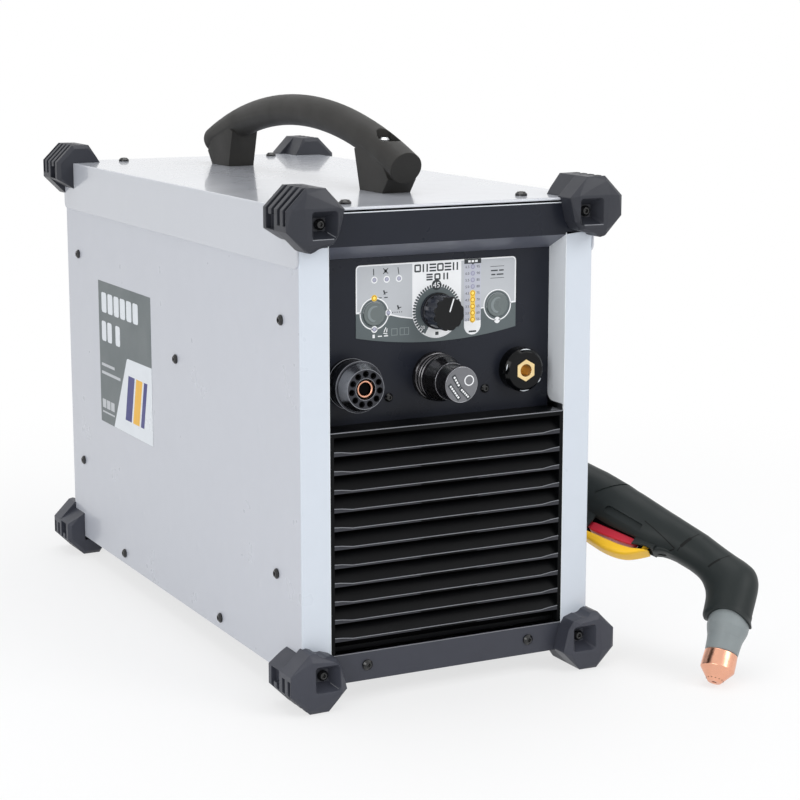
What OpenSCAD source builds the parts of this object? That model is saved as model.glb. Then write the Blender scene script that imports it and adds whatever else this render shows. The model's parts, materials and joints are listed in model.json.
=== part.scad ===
// Portable inverter plasma cutter with its hand torch. Millimetres, +Z up.
// The control panel faces -Y and the floor is z = 0.

/* [Casing] */
// Width of the casing over its side panels
body_w = 265; // [255:1:275]
// Depth of the casing from the front sheet to the rear sheet
body_d = 565; // [550:1:580]
// Height of the lid's top face above the floor
body_top = 398.6; // [396:0.1:402]
// Height of the side panels' lower edge above the floor
side_bottom = 19.6; // [18:0.1:22]
// Thickness of the casing's sheet steel
sheet = 1.5; // [1:0.1:2]
// Depth of the lid's side skirts
skirt_h = 46; // [40:1:50]

/* [Front] */
// Width of the pale front pillars
pillar_w = 25.5; // [24:0.5:28]
// Depth of the control panel behind the pillars
recess_d = 26; // [22:1:28]
// Height of the black band's lower edge above the floor
band_bottom = 370; // [368:1:372]
// Height of the control panel's top edge above the floor
panel_top = 355.4; // [353:0.1:357]
// Height of the louvre block's top ledge above the floor
ledge_z = 221.8; // [220:0.1:224]
// Height of the upper louvre lip above the floor
louvre_first_z = 204.7; // [203:0.1:206]
// Distance from one louvre lip to the next
louvre_pitch = 15.2; // [14:0.1:15.2]
// Number of louvres
louvre_n = 11; // [9:1:11]
// Height of the bottom bar's lower edge above the floor
bar_bottom = 15.6; // [14:0.1:17]
// Height of the bottom bar's top edge above the floor
bar_top = 39.8; // [38:0.1:42]

/* [Corner bumpers] */
// Size of a bumper across its flats
bumper_size = 50; // [48:1:52]
// How far a bumper stands out from the casing
bumper_out = 17.5; // [16:0.5:19]
// Corner cut of the bumper's octagon
bumper_cut = 16.5; // [14:0.5:18]
// Length of a bumper along the casing's depth, without its front bevel
bumper_len = 48; // [46:0.5:54]

/* [Carry handle] */
// Diameter of the grip
grip_d = 28; // [26:1:32]
// Radius of the grip's arch, to the middle of the grip
arch_r = 564; // [540:1:600]
// Height of the grip's middle line above the floor at mid depth
arch_top_z = 458.6; // [455:0.1:462]
// Half of the grip's length along the casing
grip_half = 205; // [195:1:210]

/* [Controls] */
// Height of the row of connectors above the floor
socket_row_z = 255.5; // [252:0.5:258]
// Sideways distance from the middle to each outer connector
socket_x = 78; // [74:0.5:80]
// Height of the dial's centre above the floor
dial_z = 308.9; // [306:0.1:311]
// Radius of the printed dial
dial_r = 22; // [20:0.5:23]
// Diameter of the current knob's face
knob_d = 28; // [26:1:30]
// Height of the current knob above the label
knob_h = 21.4; // [18:0.1:23]
// Diameter of a push button
button_d = 19.5; // [18:0.5:19.5]
// Travel of a push button
button_travel = 0.8; // [0.5:0.1:1]
// Bore of the work-lead socket's brass insert
work_bore_r = 5.25; // [4.5:0.05:5.5]
// Bore of the torch connector's centre contact
torch_bore_r = 7; // [6:0.1:7.5]

/* [Rear] */
// Diameter of the fan's air duct
fan_bore = 114; // [108:1:114]
// Height of the fan's axis above the floor
fan_z = 128; // [120:1:140]
// Bore of the mains cord gland
gland_bore_r = 6.5; // [5:0.1:7]
// Bore of the compressed-air inlet
air_bore_r = 5.9; // [5:0.1:6.5]

/* [Torch] */
// Length of the torch head from the elbow to the shield's face
head_len = 86.4; // [85:0.1:86.4]
// Angle between the torch's handle and its head
head_angle = 112; // [110:1:114]
// Length of the handle from the elbow to its rear end
torch_len = 205; // [195:1:206]
// Turn of the handle about the vertical
torch_yaw = 116.4; // [116:0.1:117]
// Rise of the handle above the horizontal
torch_rise = 22; // [21.5:0.1:22.5]
// Roll of the torch about its handle
torch_roll = 39.5; // [39:0.1:40]

/* [Hidden] */

$fn = 48;
fine = 96;                       // segments of a large circle
cut = 1;                         // how far a cutter runs past a face
gap = 0.3;                       // clearance between separate curved pieces
fit_gap = 0.05;                  // radial clearance of a pin in its bore

// Place of the casing's front middle, so that the origin is under the middle
// of the whole object, torch included.
machine_x = -52.7;
machine_y = -236.5;

half_w = body_w / 2;
pillar_in = half_w - pillar_w;   // inner edge of a pillar
skirt_x = half_w + sheet;        // outer face of the lid's skirt
panel_y = recess_d;              // front face of the control panel
panel_t = 2;
label_t = 0.6;
label_w = 146.6;
label_x = 1.6;
label_top = 349.4;
label_bottom = 291.2;            // height of the label's lower corners
label_sag = 7.4;                 // drop of the label's curved lower edge
knob_x = 1.1;
mode_x = -55.4;
set_x = 57.4;
button_z = 310;
button_up = 1.2;                 // height of a button above the label
led_r = 1.5;
led_up = 0.4;
led_column_x = 34.2;
led_column_top = 342.8;
led_column_pitch = 5.43;
led_column_n = 9;
led_row_x = [-55.3, -44.3, -33.3];
led_row_z = 337.1;
mode_led_r = 12.6;               // distance of the mode lamps from the button
connector_out = 31;              // how far each fitting stands out of the panel
regulator_out = 47;
work_out = 13;
regulator_x = -1;
panel_screw_x = [-42.5, 46.5];
panel_screw_z = 241;
torch_e = [235.6, -74, 72.7];    // elbow of the torch, from the casing's front middle

rear_y = body_d - sheet;         // outer face of the rear panel
screw_r = 2;
screw_hole_r = 2.2;
panel_screw_r = 1.6;
handle_screw_r = 2.5;
bar_screw_x = [-75, 75];
bar_screw_z = 28.4;
side_screw_places = [[35, 309], [267, 243], [530, 309], [48, 100], [530, 100], [171, 30], [414, 30]];
lid_screw_places = [[-80, 27], [80, 27], [-80, 538], [80, 538]];
rear_screw_x = half_w - 12;
rear_screw_z = [75, 200, 330];
handle_screw_y = [body_d / 2 - 165, body_d / 2 + 165];
bumper_screw_x = half_w - 13.5;
bumper_screw_z = [28.5, 387.6];

module machine() { translate([machine_x, machine_y, 0]) children(); }
// Local z points out of the front face.
module facing_front(x, y, z) { translate([x, y, z]) rotate([90, 0, 0]) children(); }
// Local z points out of the rear face.
module facing_rear(x, y, z) { translate([x, y, z]) rotate([-90, 0, 0]) children(); }
// Extrudes a Y-Z outline along X, centred on x = 0.
module along_x(w) { translate([-w / 2, 0, 0]) rotate([90, 0, 90]) linear_extrude(w) children(); }
module box(x0, x1, y0, y1, z0, z1) { translate([x0, y0, z0]) cube([x1 - x0, y1 - y0, z1 - z0]); }
module round_rect(w, h, r) {
  square([w - 2 * r, h], center = true);
  square([w, h - 2 * r], center = true);
  for (i = [-1, 1], j = [-1, 1])
    translate([i * (w / 2 - r), j * (h / 2 - r)]) circle(r);
}
module tube(r, bore, h) {
  difference() {
    cylinder(r = r, h = h);
    translate([0, 0, -cut]) cylinder(r = bore, h = h + 2 * cut);
  }
}

module side_screw_holes() {
  for (p = side_screw_places) translate([-half_w - cut, p[0], p[1]]) rotate([0, 90, 0])
    cylinder(r = screw_hole_r, h = body_w + 2 * cut);
}
module bumper_screw_holes() {
  for (s = [-1, 1], z = bumper_screw_z) facing_front(s * bumper_screw_x, body_d + cut, z)
    cylinder(r = screw_hole_r, h = body_d + 2 * cut);
}
module bar_screw_holes() {
  for (x = bar_screw_x) facing_front(x, 6 * sheet, bar_screw_z) cylinder(r = screw_hole_r, h = 8 * sheet);
}
module rear_screw_holes() {
  for (s = [-1, 1], z = rear_screw_z) facing_rear(s * rear_screw_x, rear_y - 5, z)
    cylinder(r = screw_hole_r, h = 10);
}

// ---- Casing ----
pan_flange = 16;
pan_t = 2;
module base_pan() {
  color("dimgray") machine() difference() {
    union() {
      box(-half_w + sheet, half_w - sheet, sheet, rear_y, side_bottom, side_bottom + pan_t);
      for (s = [-1, 1])
        translate([s * (half_w - sheet - pan_t / 2), body_d / 2, side_bottom + pan_flange / 2])
          cube([pan_t, body_d - 6 * sheet, pan_flange], center = true);
      box(-pillar_in, pillar_in, sheet, sheet + pan_t, side_bottom, side_bottom + pan_flange);
    }
    side_screw_holes();
    bar_screw_holes();
  }
}

bar_lip = 20;
module front_bar() {
  color([0.3, 0.31, 0.35]) machine() difference() {
    union() {
      box(-pillar_in, pillar_in, 0, sheet, bar_bottom, bar_top);
      box(-pillar_in, pillar_in, 0, bar_lip, bar_bottom, bar_bottom + sheet);
    }
    bar_screw_holes();
  }
}

return_round = 8;
return_bottom = ledge_z + 5;
module side_sheet() {
  difference() {
    union() {
      box(-half_w, -half_w + sheet, 0, body_d, side_bottom, body_top - lid_lip);
      box(-half_w, -pillar_in, 0, sheet, side_bottom, band_bottom);
      box(-half_w, -pillar_in, rear_y, body_d, side_bottom, body_top - lid_flange - 0.2);
    }
    side_screw_holes();
    bumper_screw_holes();
    rear_screw_holes();
  }
  // inner return of the pillar, beside the control panel
  translate([-pillar_in, 0, 0]) rotate([90, 0, -90]) linear_extrude(sheet) difference() {
    polygon([[-recess_d, return_bottom], [0, return_bottom], [0, band_bottom],
      [-recess_d, panel_top]]);
    difference() {
      translate([-recess_d, return_bottom]) square(return_round);
      translate([-recess_d + return_round, return_bottom + return_round]) circle(return_round);
    }
  }
}
module side_left() { color([0.78, 0.79, 0.83]) machine() side_sheet(); }
module side_right() { color([0.78, 0.79, 0.83]) machine() mirror([1, 0, 0]) side_sheet(); }

lid_lip = 2.2;                   // front fold of the lid
lid_flange = 16;                 // rear fold of the lid
skirt_round = 6;
module lid() {
  fold_x = half_w - sheet;
  color([0.84, 0.85, 0.88]) machine() difference() {
    union() {
      box(-skirt_x, skirt_x, 0, body_d, body_top - sheet, body_top);
      box(-fold_x, fold_x, 0, sheet, body_top - lid_lip, body_top - sheet);
      box(-fold_x, fold_x, rear_y, body_d, body_top - lid_flange, body_top - sheet);
      for (s = [-1, 1])
        translate([s * (half_w + sheet / 2), 0, 0]) rotate([90, 0, 90])
          linear_extrude(sheet, center = true) skirt_outline();
    }
    for (p = lid_screw_places) translate([p[0], p[1], body_top - 5]) cylinder(r = screw_hole_r, h = 10);
    for (y = handle_screw_y) translate([0, y, body_top - 5]) cylinder(r = handle_screw_r + gap, h = 10);
    bumper_screw_holes();
  }
}
module skirt_outline() {
  low = body_top - skirt_h;
  translate([skirt_round, low]) square([body_d - 2 * skirt_round, skirt_h - sheet]);
  translate([0, low + skirt_round]) square([body_d, skirt_h - skirt_round - sheet]);
  for (y = [skirt_round, body_d - skirt_round]) translate([y, low + skirt_round]) circle(skirt_round);
}

band_gap = 1.6;                  // dark joint between the lid and the band
bevel_t = 1.5;
band_shelf = 38;                 // depth of the fold that the lid is screwed to
module front_band() {
  band_high = body_top - lid_lip - band_gap;
  fold_x = half_w - sheet;
  color([0.17, 0.18, 0.22]) machine() difference() {
    union() {
      box(-fold_x, fold_x, 0, sheet, band_bottom, band_high);
      box(-fold_x, fold_x, sheet, band_shelf, band_high - sheet, band_high);
      along_x(2 * pillar_in) polygon([[0, band_bottom], [bevel_t, band_bottom + bevel_t],
        [recess_d + bevel_t, panel_top + bevel_t], [recess_d, panel_top]]);
    }
    for (p = lid_screw_places) translate([p[0], p[1], band_high - 5]) cylinder(r = screw_hole_r, h = 10);
    bumper_screw_holes();
  }
}

module control_panel() {
  color([0.17, 0.18, 0.22]) machine() difference() {
    box(-pillar_in, pillar_in, panel_y, panel_y + panel_t, ledge_z - 2, panel_top);
    panel_holes();
    back = panel_y + panel_t + cut;
    through = panel_t + 2 * cut;
    facing_front(-socket_x, back, socket_row_z) cylinder(r = torch_neck_r + gap, h = through, $fn = fine);
    facing_front(regulator_x, back, socket_row_z) cylinder(r = stem_r + gap, h = through);
    facing_front(socket_x, back, socket_row_z) cylinder(r = work_neck_r + 0.2, h = through);
    for (x = panel_screw_x) facing_front(x, back, panel_screw_z)
      cylinder(r = panel_screw_r + 0.2, h = through);
  }
}
// Holes that run through the label and the panel alike.
module panel_holes() {
  deep = panel_y + panel_t + cut;
  through = panel_t + label_t + 2 * cut;
  facing_front(knob_x, deep, dial_z) cylinder(r = bush_r + 0.2, h = through);
  for (x = [mode_x, set_x]) facing_front(x, deep, button_z) cylinder(r = button_d / 2 + gap, h = through);
  for (p = led_places()) facing_front(p[0], deep, p[1]) cylinder(r = led_r, h = through);
}
function led_places() = concat(
  [for (i = [0:led_column_n - 1]) [led_column_x, led_column_top - i * led_column_pitch]],
  [for (x = led_row_x) [x, led_row_z]],
  [for (a = [90, 0, -90]) [mode_x + mode_led_r * cos(a), button_z + mode_led_r * sin(a)]],
  [[set_x, button_z - mode_led_r]]);

label_corner = 4;
module control_label() {
  bow_r = (pow(label_w / 2, 2) + pow(label_sag, 2)) / (2 * label_sag);
  high = label_top - label_bottom + label_sag;
  spare = 20;                    // the square-cut lower end, past the curve
  color([0.72, 0.74, 0.76]) machine() difference() {
    facing_front(label_x, panel_y, label_top - high / 2) linear_extrude(label_t) intersection() {
      translate([0, -spare]) round_rect(label_w, high + 2 * spare, label_corner);
      translate([0, bow_r - high / 2]) circle(bow_r, $fn = fine);
    }
    panel_holes();
  }
}

// Pressed louvre: a lip at the front whose ends flare, and a sheet sloping up
// and back behind it.
louvre_half = pillar_in - 3.4;
lip_h = 2.2;
lip_flare = 1.8;
lip_flare_len = 16;
slope_d = 8;                     // depth and height of the sheet behind a lip
slope_h = 9;
lip_t = 1.6;
block_d = 18;
block_bottom = bar_top + 0.4;
ledge_lip = 4;                   // folds above the first louvre and below the last
module louvre() {
  rotate([90, 0, 0]) translate([0, 0, -lip_t]) linear_extrude(lip_t) polygon([
    [-louvre_half, lip_flare], [-louvre_half + lip_flare_len, 0],
    [louvre_half - lip_flare_len, 0], [louvre_half, lip_flare],
    [louvre_half, -lip_h], [-louvre_half, -lip_h]]);
  along_x(2 * louvre_half) polygon([[0.2, -lip_h], [slope_d, slope_h - lip_h],
    [slope_d, slope_h], [0.2, -0.2]]);
}
module louvre_block() {
  color([0.08, 0.08, 0.09]) machine() {
    for (i = [0:louvre_n - 1]) translate([0, 0, louvre_first_z - i * louvre_pitch]) louvre();
    for (s = [-1, 1])
      translate([s * (louvre_half + pillar_in) / 2, block_d / 2, (block_bottom + ledge_z) / 2])
        cube([pillar_in - louvre_half, block_d, ledge_z - block_bottom], center = true);
    box(-pillar_in, pillar_in, 0, panel_y, ledge_z - sheet, ledge_z);
    box(-louvre_half, louvre_half, 0, sheet, ledge_z - ledge_lip, ledge_z - sheet);
    box(-louvre_half, louvre_half, slope_d, slope_d + sheet, block_bottom, block_bottom + ledge_lip);
  }
}

switch_x = -72;
switch_z = 318;
gland_x = 70;
gland_z = 318;
air_x = 84;
air_z = 62;
fan_hole_step = 105;
vent_half = 45;
vent_n = 9;
vent_z = 222;
vent_pitch = 8;
vent_h = 3;
module rear_panel() {
  back = rear_y - 5;
  through = 10;
  color([0.17, 0.18, 0.22]) machine() difference() {
    box(-half_w + sheet, half_w - sheet, rear_y - sheet, rear_y, side_bottom + pan_t,
      body_top - lid_flange);
    facing_rear(0, back, fan_z) cylinder(r = fan_bore / 2, h = through, $fn = fine);
    facing_rear(switch_x, back, switch_z) cylinder(r = switch_r + gap, h = through);
    facing_rear(gland_x, back, gland_z) cylinder(r = gland_r + gap, h = through);
    facing_rear(air_x, back, air_z) cylinder(r = air_r + gap, h = through);
    for (i = [-1, 1], j = [-1, 1])
      facing_rear(i * fan_hole_step / 2, back, fan_z + j * fan_hole_step / 2)
        cylinder(r = screw_hole_r, h = through);
    rear_screw_holes();
    bumper_screw_holes();
    for (i = [0:vent_n - 1]) translate([0, 0, vent_z + i * vent_pitch])
      box(-vent_half, vent_half, back, back + through, 0, vent_h);
  }
}

// ---- Corner bumpers ----
// Drawn for the front left top corner: the casing's corner is the origin, and
// the casing fills +X, +Y and -Z.
bumper_mid = bumper_size / 2 - bumper_out;
bumper_diag = (bumper_size - bumper_cut) / sqrt(2);
bevel_y = 3;                     // depth of the front bevel
bevel_r = 3.6;                   // width of the front bevel
slot_deep = 5;
funnel_x = half_w - bumper_screw_x;
funnel_z = bumper_screw_z[1] - body_top;
funnel_open = 23;
funnel_floor = 10;
funnel_deep = 12;
// Grooves over the outer chamfer: near edge, far edge, and how far down the side each runs.
slots = [[-15.4, -11.6, -11], [-6.6, -2.4, -11], [2.8, 6.6, -4], [13.4, 21, -4]];
slot_reach = 8;                  // how far the grooves run in over the bumper's top
window = [2.8, 21, -15, -3];     // open stretch of the side: y from and to, z from and to
lobe_y = 3;                      // behind this depth the bumper's two lobes are thinner
low_lobe = [[-19, -14.6], [0.5, -26.3], [0.5, -40], [-19, -40]];
top_lobe = [[14.6, 19], [26.3, -0.5], [40, -0.5], [40, 19]];
lobe_step = [20, 1, 2];          // step on the inner chamfer of the top lobe
lobe_step_len = 16;
// Eight-sided bar along Y, its ends bevelled by b_y along it and b_r inwards.
module octagon_bar(size, diag, len, b_y, b_r) {
  translate([bumper_mid, 0, -bumper_mid]) intersection_for(k = [0:3]) rotate([0, k * 45, 0]) {
    r = (k % 2 == 0) ? size / 2 : diag;
    rotate([90, 0, 90]) linear_extrude(2 * size, center = true)
      polygon([[0, b_r - r], [b_y, -r], [len - b_y, -r], [len, b_r - r],
        [len, r - b_r], [len - b_y, r], [b_y, r], [0, r - b_r]]);
  }
}
// Square pit along +Y, narrowing from one width to another.
module square_pit(w0, w1, deep) {
  side = [[-cut, -w0 / 2 - cut * (w0 - w1) / 2 / deep], [deep, -w1 / 2], [deep, w1 / 2],
    [-cut, w0 / 2 + cut * (w0 - w1) / 2 / deep]];
  intersection() {
    rotate([90, 0, 90]) linear_extrude(2 * w0, center = true) polygon(side);
    rotate([0, 90, 0]) rotate([90, 0, 90]) linear_extrude(2 * w0, center = true) polygon(side);
  }
}
module corner_bumper(side_gap, floor_gap) {
  front = -bumper_out - bevel_y;
  long = bumper_len + bevel_y;
  inner_size = bumper_size - 2 * slot_deep;
  inner_diag = bumper_diag - slot_deep;
  difference() {
    translate([0, front, 0]) octagon_bar(bumper_size, bumper_diag, long, bevel_y, bevel_r);
    // the casing's corner
    translate([-side_gap, 0, floor_gap - 3 * bumper_size]) cube(3 * bumper_size);
    difference() {
      union() {
        for (s = slots) box(-2 * bumper_out, slot_reach, s[0], s[1], s[2], 2 * bumper_out);
        box(-2 * bumper_out, 0, window[0], window[1], window[2], window[3]);
        translate(lobe_step) cube([bumper_size, lobe_step_len, bumper_size]);
      }
      translate([0, front - cut, 0]) octagon_bar(inner_size, inner_diag, long + 2 * cut, cut / 2, cut / 2);
    }
    for (lobe = [low_lobe, top_lobe])
      translate([0, lobe_y + bumper_size, 0]) rotate([90, 0, 0]) linear_extrude(bumper_size) polygon(lobe);
    // pit for the corner's screw
    translate([funnel_x, front, funnel_z]) square_pit(funnel_open, funnel_floor, funnel_deep);
    translate([funnel_x, cut, funnel_z]) rotate([90, 0, 0]) cylinder(r = screw_hole_r, h = bumper_size);
  }
}
// Puts the bumper on one of the eight corners; the signs say which.
module bumper_at(side, end, level) {
  z = level > 0 ? body_top : bumper_out;
  y = end < 0 ? 0 : body_d;
  color([0.24, 0.25, 0.28]) machine() translate([side * half_w, y, z])
    mirror([side > 0 ? 1 : 0, 0, 0]) mirror([0, end > 0 ? 1 : 0, 0]) mirror([0, 0, level < 0 ? 1 : 0])
      corner_bumper(level > 0 ? sheet : 0, level > 0 ? 0 : bumper_out - bar_bottom);
}
module bumper_front_left_top() { bumper_at(-1, -1, 1); }
module bumper_front_right_top() { bumper_at(1, -1, 1); }
module bumper_front_left_bottom() { bumper_at(-1, -1, -1); }
module bumper_front_right_bottom() { bumper_at(1, -1, -1); }
module bumper_rear_left_top() { bumper_at(-1, 1, 1); }
module bumper_rear_right_top() { bumper_at(1, 1, 1); }
module bumper_rear_left_bottom() { bumper_at(-1, 1, -1); }
module bumper_rear_right_bottom() { bumper_at(1, 1, -1); }

// ---- Carry handle ----
arch_z = arch_top_z - arch_r;    // height of the arch's centre
grip_angle = asin(grip_half / arch_r);
foot_w = 26;
foot_near = 144.5;               // foot's inner edge, from mid depth
foot_far = 187;
foot_flare = 10.5;
foot_high = 34;                  // where the foot's inner edge meets the grip
foot_back = 12;                  // height of the foot's outer corner
grip_over = 24;                  // height at which the grip runs out over the foot
pocket_r = 6.5;                  // pocket for a handle screw
pocket_z = 440;                  // height of the pocket's floor
module carry_handle() {
  color([0.23, 0.23, 0.22]) machine() difference() {
    union() {
      translate([0, body_d / 2, arch_z]) rotate([90, grip_angle - 90, 90])
        rotate_extrude(angle = 2 * grip_angle, $fn = 360) translate([arch_r, 0]) circle(grip_d / 2);
      for (s = [-1, 1]) translate([0, body_d / 2, body_top]) mirror([0, s > 0 ? 1 : 0, 0])
        along_x(foot_w) polygon([[-foot_near, 0], [-foot_near + foot_flare, foot_high],
          [-foot_near - 6, foot_high + 6], [-foot_far, grip_over],
          [-foot_far - foot_flare, foot_back], [-foot_far, 0]]);
    }
    for (y = handle_screw_y) translate([0, y, 0]) {
      translate([0, 0, pocket_z]) cylinder(r = pocket_r, h = 60);
      translate([0, 0, body_top - cut]) cylinder(r = handle_screw_r + gap, h = 60);
    }
  }
}

// ---- Fasteners ----
// Domed screw, head up, with a hexagonal socket; z = 0 is under the head.
module dome_screw(r, head_r, head_h, shank) {
  rim_h = 0.45 * head_h;
  difference() {
    union() {
      translate([0, 0, -shank]) cylinder(r = r, h = shank);
      cylinder(r = head_r, h = rim_h);
      translate([0, 0, rim_h]) cylinder(r1 = head_r, r2 = 0.62 * head_r, h = head_h - rim_h);
    }
    translate([0, 0, 0.4 * head_h]) cylinder(r = 0.42 * head_r, h = head_h, $fn = 6);
  }
}
module handle_screws() {
  color("silver") machine() for (y = handle_screw_y)
    translate([0, y, pocket_z]) dome_screw(handle_screw_r, 5, 3.4, 52);
}
module side_screws() {
  color([0.12, 0.12, 0.13]) machine() for (s = [-1, 1], p = side_screw_places)
    translate([s * half_w, p[0], p[1]]) rotate([0, s * 90, 0]) dome_screw(screw_r, 4.3, 2.6, 8);
}
module lid_screws() {
  color([0.12, 0.12, 0.13]) machine() for (p = lid_screw_places)
    translate([p[0], p[1], body_top]) dome_screw(screw_r, 5, 3.4, 12);
}
module bumper_screws() {
  seat = -bumper_out - bevel_y + funnel_deep;
  color([0.12, 0.12, 0.13]) machine() for (s = [-1, 1], z = bumper_screw_z) {
    facing_front(s * bumper_screw_x, seat, z) dome_screw(screw_r, 4.4, 3, 14);
    facing_rear(s * bumper_screw_x, body_d - seat, z) dome_screw(screw_r, 4.4, 3, 14);
  }
}
module front_screws() {
  color([0.2, 0.2, 0.22]) machine() {
    for (x = bar_screw_x) facing_front(x, 0, bar_screw_z) dome_screw(screw_r, 4.4, 2.8, 8);
    for (x = panel_screw_x) facing_front(x, panel_y, panel_screw_z)
      dome_screw(panel_screw_r, 3.6, 2.4, 7);
  }
}
module rear_screws() {
  color([0.12, 0.12, 0.13]) machine() {
    for (s = [-1, 1], z = rear_screw_z)
      facing_rear(s * rear_screw_x, body_d, z) dome_screw(screw_r, 4.3, 2.6, 8);
    for (i = [-1, 1], j = [-1, 1])
      facing_rear(i * fan_hole_step / 2, rear_y + grille_t, fan_z + j * fan_hole_step / 2)
        dome_screw(screw_r, 4, 2.4, 20);
  }
}

// ---- Controls ----
grip_n = 12;                     // flutes of the knob
flute_r = 2.4;
skirt_lift = 0.5;                // gap under the knob's skirt
skirt_t = 3;
knob_edge = 0.8;
pointer_w = 1.4;
pot_r = 9;
pot_len = 18;
bush_r = 4;
shaft_r = 3;
shaft_len = 13;
knob_angle = -18;                // where the pointer rests, clockwise from the top
module current_knob() {
  face_r = knob_d / 2;
  body_low = skirt_lift + skirt_t;
  color([0.1, 0.1, 0.11]) machine() facing_front(knob_x, panel_y - label_t, dial_z) difference() {
    union() {
      translate([0, 0, skirt_lift]) cylinder(r = face_r + 1, h = skirt_t);
      translate([0, 0, body_low]) cylinder(r = face_r, h = knob_h - knob_edge - body_low);
      translate([0, 0, knob_h - knob_edge]) cylinder(r1 = face_r, r2 = face_r - knob_edge, h = knob_edge);
    }
    for (i = [0:grip_n - 1]) rotate(i * 360 / grip_n)
      translate([face_r + flute_r / 2, 0, body_low + 1.5]) cylinder(r = flute_r, h = knob_h);
    cylinder(r = shaft_r + fit_gap, h = shaft_len + 2);
    rotate(knob_angle) translate([-pointer_w / 2, 1.5, knob_h - 0.5])
      cube([pointer_w, face_r - 3.5, 1]);
  }
}
module potentiometer() {
  color("silver") machine() facing_front(knob_x, panel_y, dial_z) {
    translate([0, 0, -pot_len]) cylinder(r = pot_r, h = pot_len - panel_t);
    translate([0, 0, -panel_t]) cylinder(r = bush_r, h = panel_t);
    cylinder(r = shaft_r, h = shaft_len);
  }
}
button_back = 1.5;               // room behind the panel for a button's flange
button_edge = 0.5;
module push_button(x) {
  r = button_d / 2;
  face = button_back + panel_t + label_t + button_up;
  machine() facing_front(x, panel_y + panel_t + button_back, button_z) {
    cylinder(r = r + 0.9, h = 1.2);
    cylinder(r = r, h = face - button_edge);
    translate([0, 0, face - button_edge]) cylinder(r1 = r, r2 = r - 1.2, h = button_edge);
  }
}
module mode_button() { color([0.42, 0.46, 0.46]) push_button(mode_x); }
module set_button() { color([0.42, 0.46, 0.46]) push_button(set_x); }
post_h = 4;                      // posts between the panel and the display board
post_r = 3;
board_y = panel_y + panel_t + post_h;
board_t = 1.6;
board_x = [-74, 72];
display_z = [284, 352];
module led_lenses() {
  front = panel_y - label_t - led_up;
  back = board_y - 0.1;
  color([0.9, 0.75, 0.3]) machine() for (p = led_places())
    facing_front(p[0], back, p[1]) cylinder(r = led_r - 0.1, h = back - front, $fn = 24);
}
module display_board() {
  inset = 4;
  color("darkgreen") machine() difference() {
    union() {
      box(board_x[0], board_x[1], board_y, board_y + board_t, display_z[0], display_z[1]);
      for (x = [board_x[0] + inset, board_x[1] - inset], z = [display_z[0] + inset, display_z[1] - inset])
        facing_front(x, board_y, z) cylinder(r = post_r, h = post_h);
    }
    facing_front(knob_x, board_y + board_t + cut, dial_z) cylinder(r = pot_r + 1, h = board_t + 2 * cut);
  }
}
// Torch connector: its rings, from the panel outwards
torch_neck_r = 16.7;
torch_neck_len = 20;
flange_r = 20.5;
flange_t = 4;
groove_r = 18.6;
groove_w = 2;
sleeve_r = 19.7;
sleeve_end = 20;
mouth_r = 16;
contact_r = 8.3;
contact_len = 22;
contact_sunk = 3;
contact_slit = 1;
pin_n = 11;
pin_pcd_r = 12.3;
pin_r = 1.9;
pin_deep = 12;
module torch_connector() {
  contact_low = connector_out - contact_len - contact_sunk;
  color([0.16, 0.16, 0.17]) machine() facing_front(-socket_x, panel_y, socket_row_z) difference() {
    union() {
      translate([0, 0, -torch_neck_len]) cylinder(r = torch_neck_r, h = torch_neck_len, $fn = fine);
      cylinder(r = flange_r, h = flange_t, $fn = fine);
      translate([0, 0, flange_t]) cylinder(r = groove_r, h = groove_w, $fn = fine);
      translate([0, 0, flange_t + groove_w])
        cylinder(r = sleeve_r, h = sleeve_end - flange_t - groove_w, $fn = fine);
      translate([0, 0, sleeve_end])
        cylinder(r1 = sleeve_r, r2 = mouth_r, h = connector_out - sleeve_end, $fn = fine);
    }
    translate([0, 0, contact_low]) cylinder(r = contact_r + fit_gap, h = connector_out);
    for (i = [0:pin_n - 1]) rotate(i * 360 / pin_n + 90)
      translate([pin_pcd_r, 0, connector_out - pin_deep]) cylinder(r = pin_r, h = pin_deep + cut);
  }
}
module connector_contact() {
  color([0.85, 0.55, 0.35]) machine() facing_front(-socket_x, panel_y, socket_row_z)
    translate([0, 0, connector_out - contact_len - contact_sunk]) difference() {
      tube(contact_r, torch_bore_r, contact_len);
      for (a = [45, 135]) rotate(a)
        translate([-flange_r, -contact_slit / 2, 6]) cube([2 * flange_r, contact_slit, contact_len]);
    }
}
hex_across = 16;
hex_r = hex_across / 2 / cos(30);
insert_out = 0.6;                // how far the insert stands out of the socket
insert_back = 13;
work_neck_r = 12.8;
work_r = 18.2;
work_face_r = 15.5;
work_edge = 3;
notch_w = 4;
module work_socket() {
  color([0.07, 0.07, 0.08]) machine() facing_front(socket_x, panel_y, socket_row_z) difference() {
    union() {
      translate([0, 0, -insert_back - 1]) cylinder(r = work_neck_r, h = insert_back + 1);
      cylinder(r = work_r, h = work_out - work_edge, $fn = fine);
      translate([0, 0, work_out - work_edge])
        cylinder(r1 = work_r, r2 = work_face_r, h = work_edge, $fn = fine);
    }
    translate([0, 0, -insert_back]) rotate(90) cylinder(r = hex_r + 0.1, h = 3 * insert_back, $fn = 6);
    for (a = [0:90:270]) rotate(a)
      translate([work_face_r + 1.1, -notch_w / 2, work_out - 5]) cube([notch_w, notch_w, 10]);
  }
}
work_bore_len = 24;
module work_socket_insert() {
  color([0.85, 0.68, 0.36]) machine() facing_front(socket_x, panel_y, socket_row_z) difference() {
    translate([0, 0, -insert_back]) rotate(90)
      cylinder(r = hex_r, h = work_out + insert_back + insert_out, $fn = 6);
    translate([0, 0, work_out + insert_out - work_bore_len])
      cylinder(r = work_bore_r, h = work_bore_len + cut);
  }
}
ring_h = 6.5;
ring_r = 21.5;
stem_r = 9;
stem_back = 14;
stem_out = 10;
spindle_r = 5;
spindle_len = 18;
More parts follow.
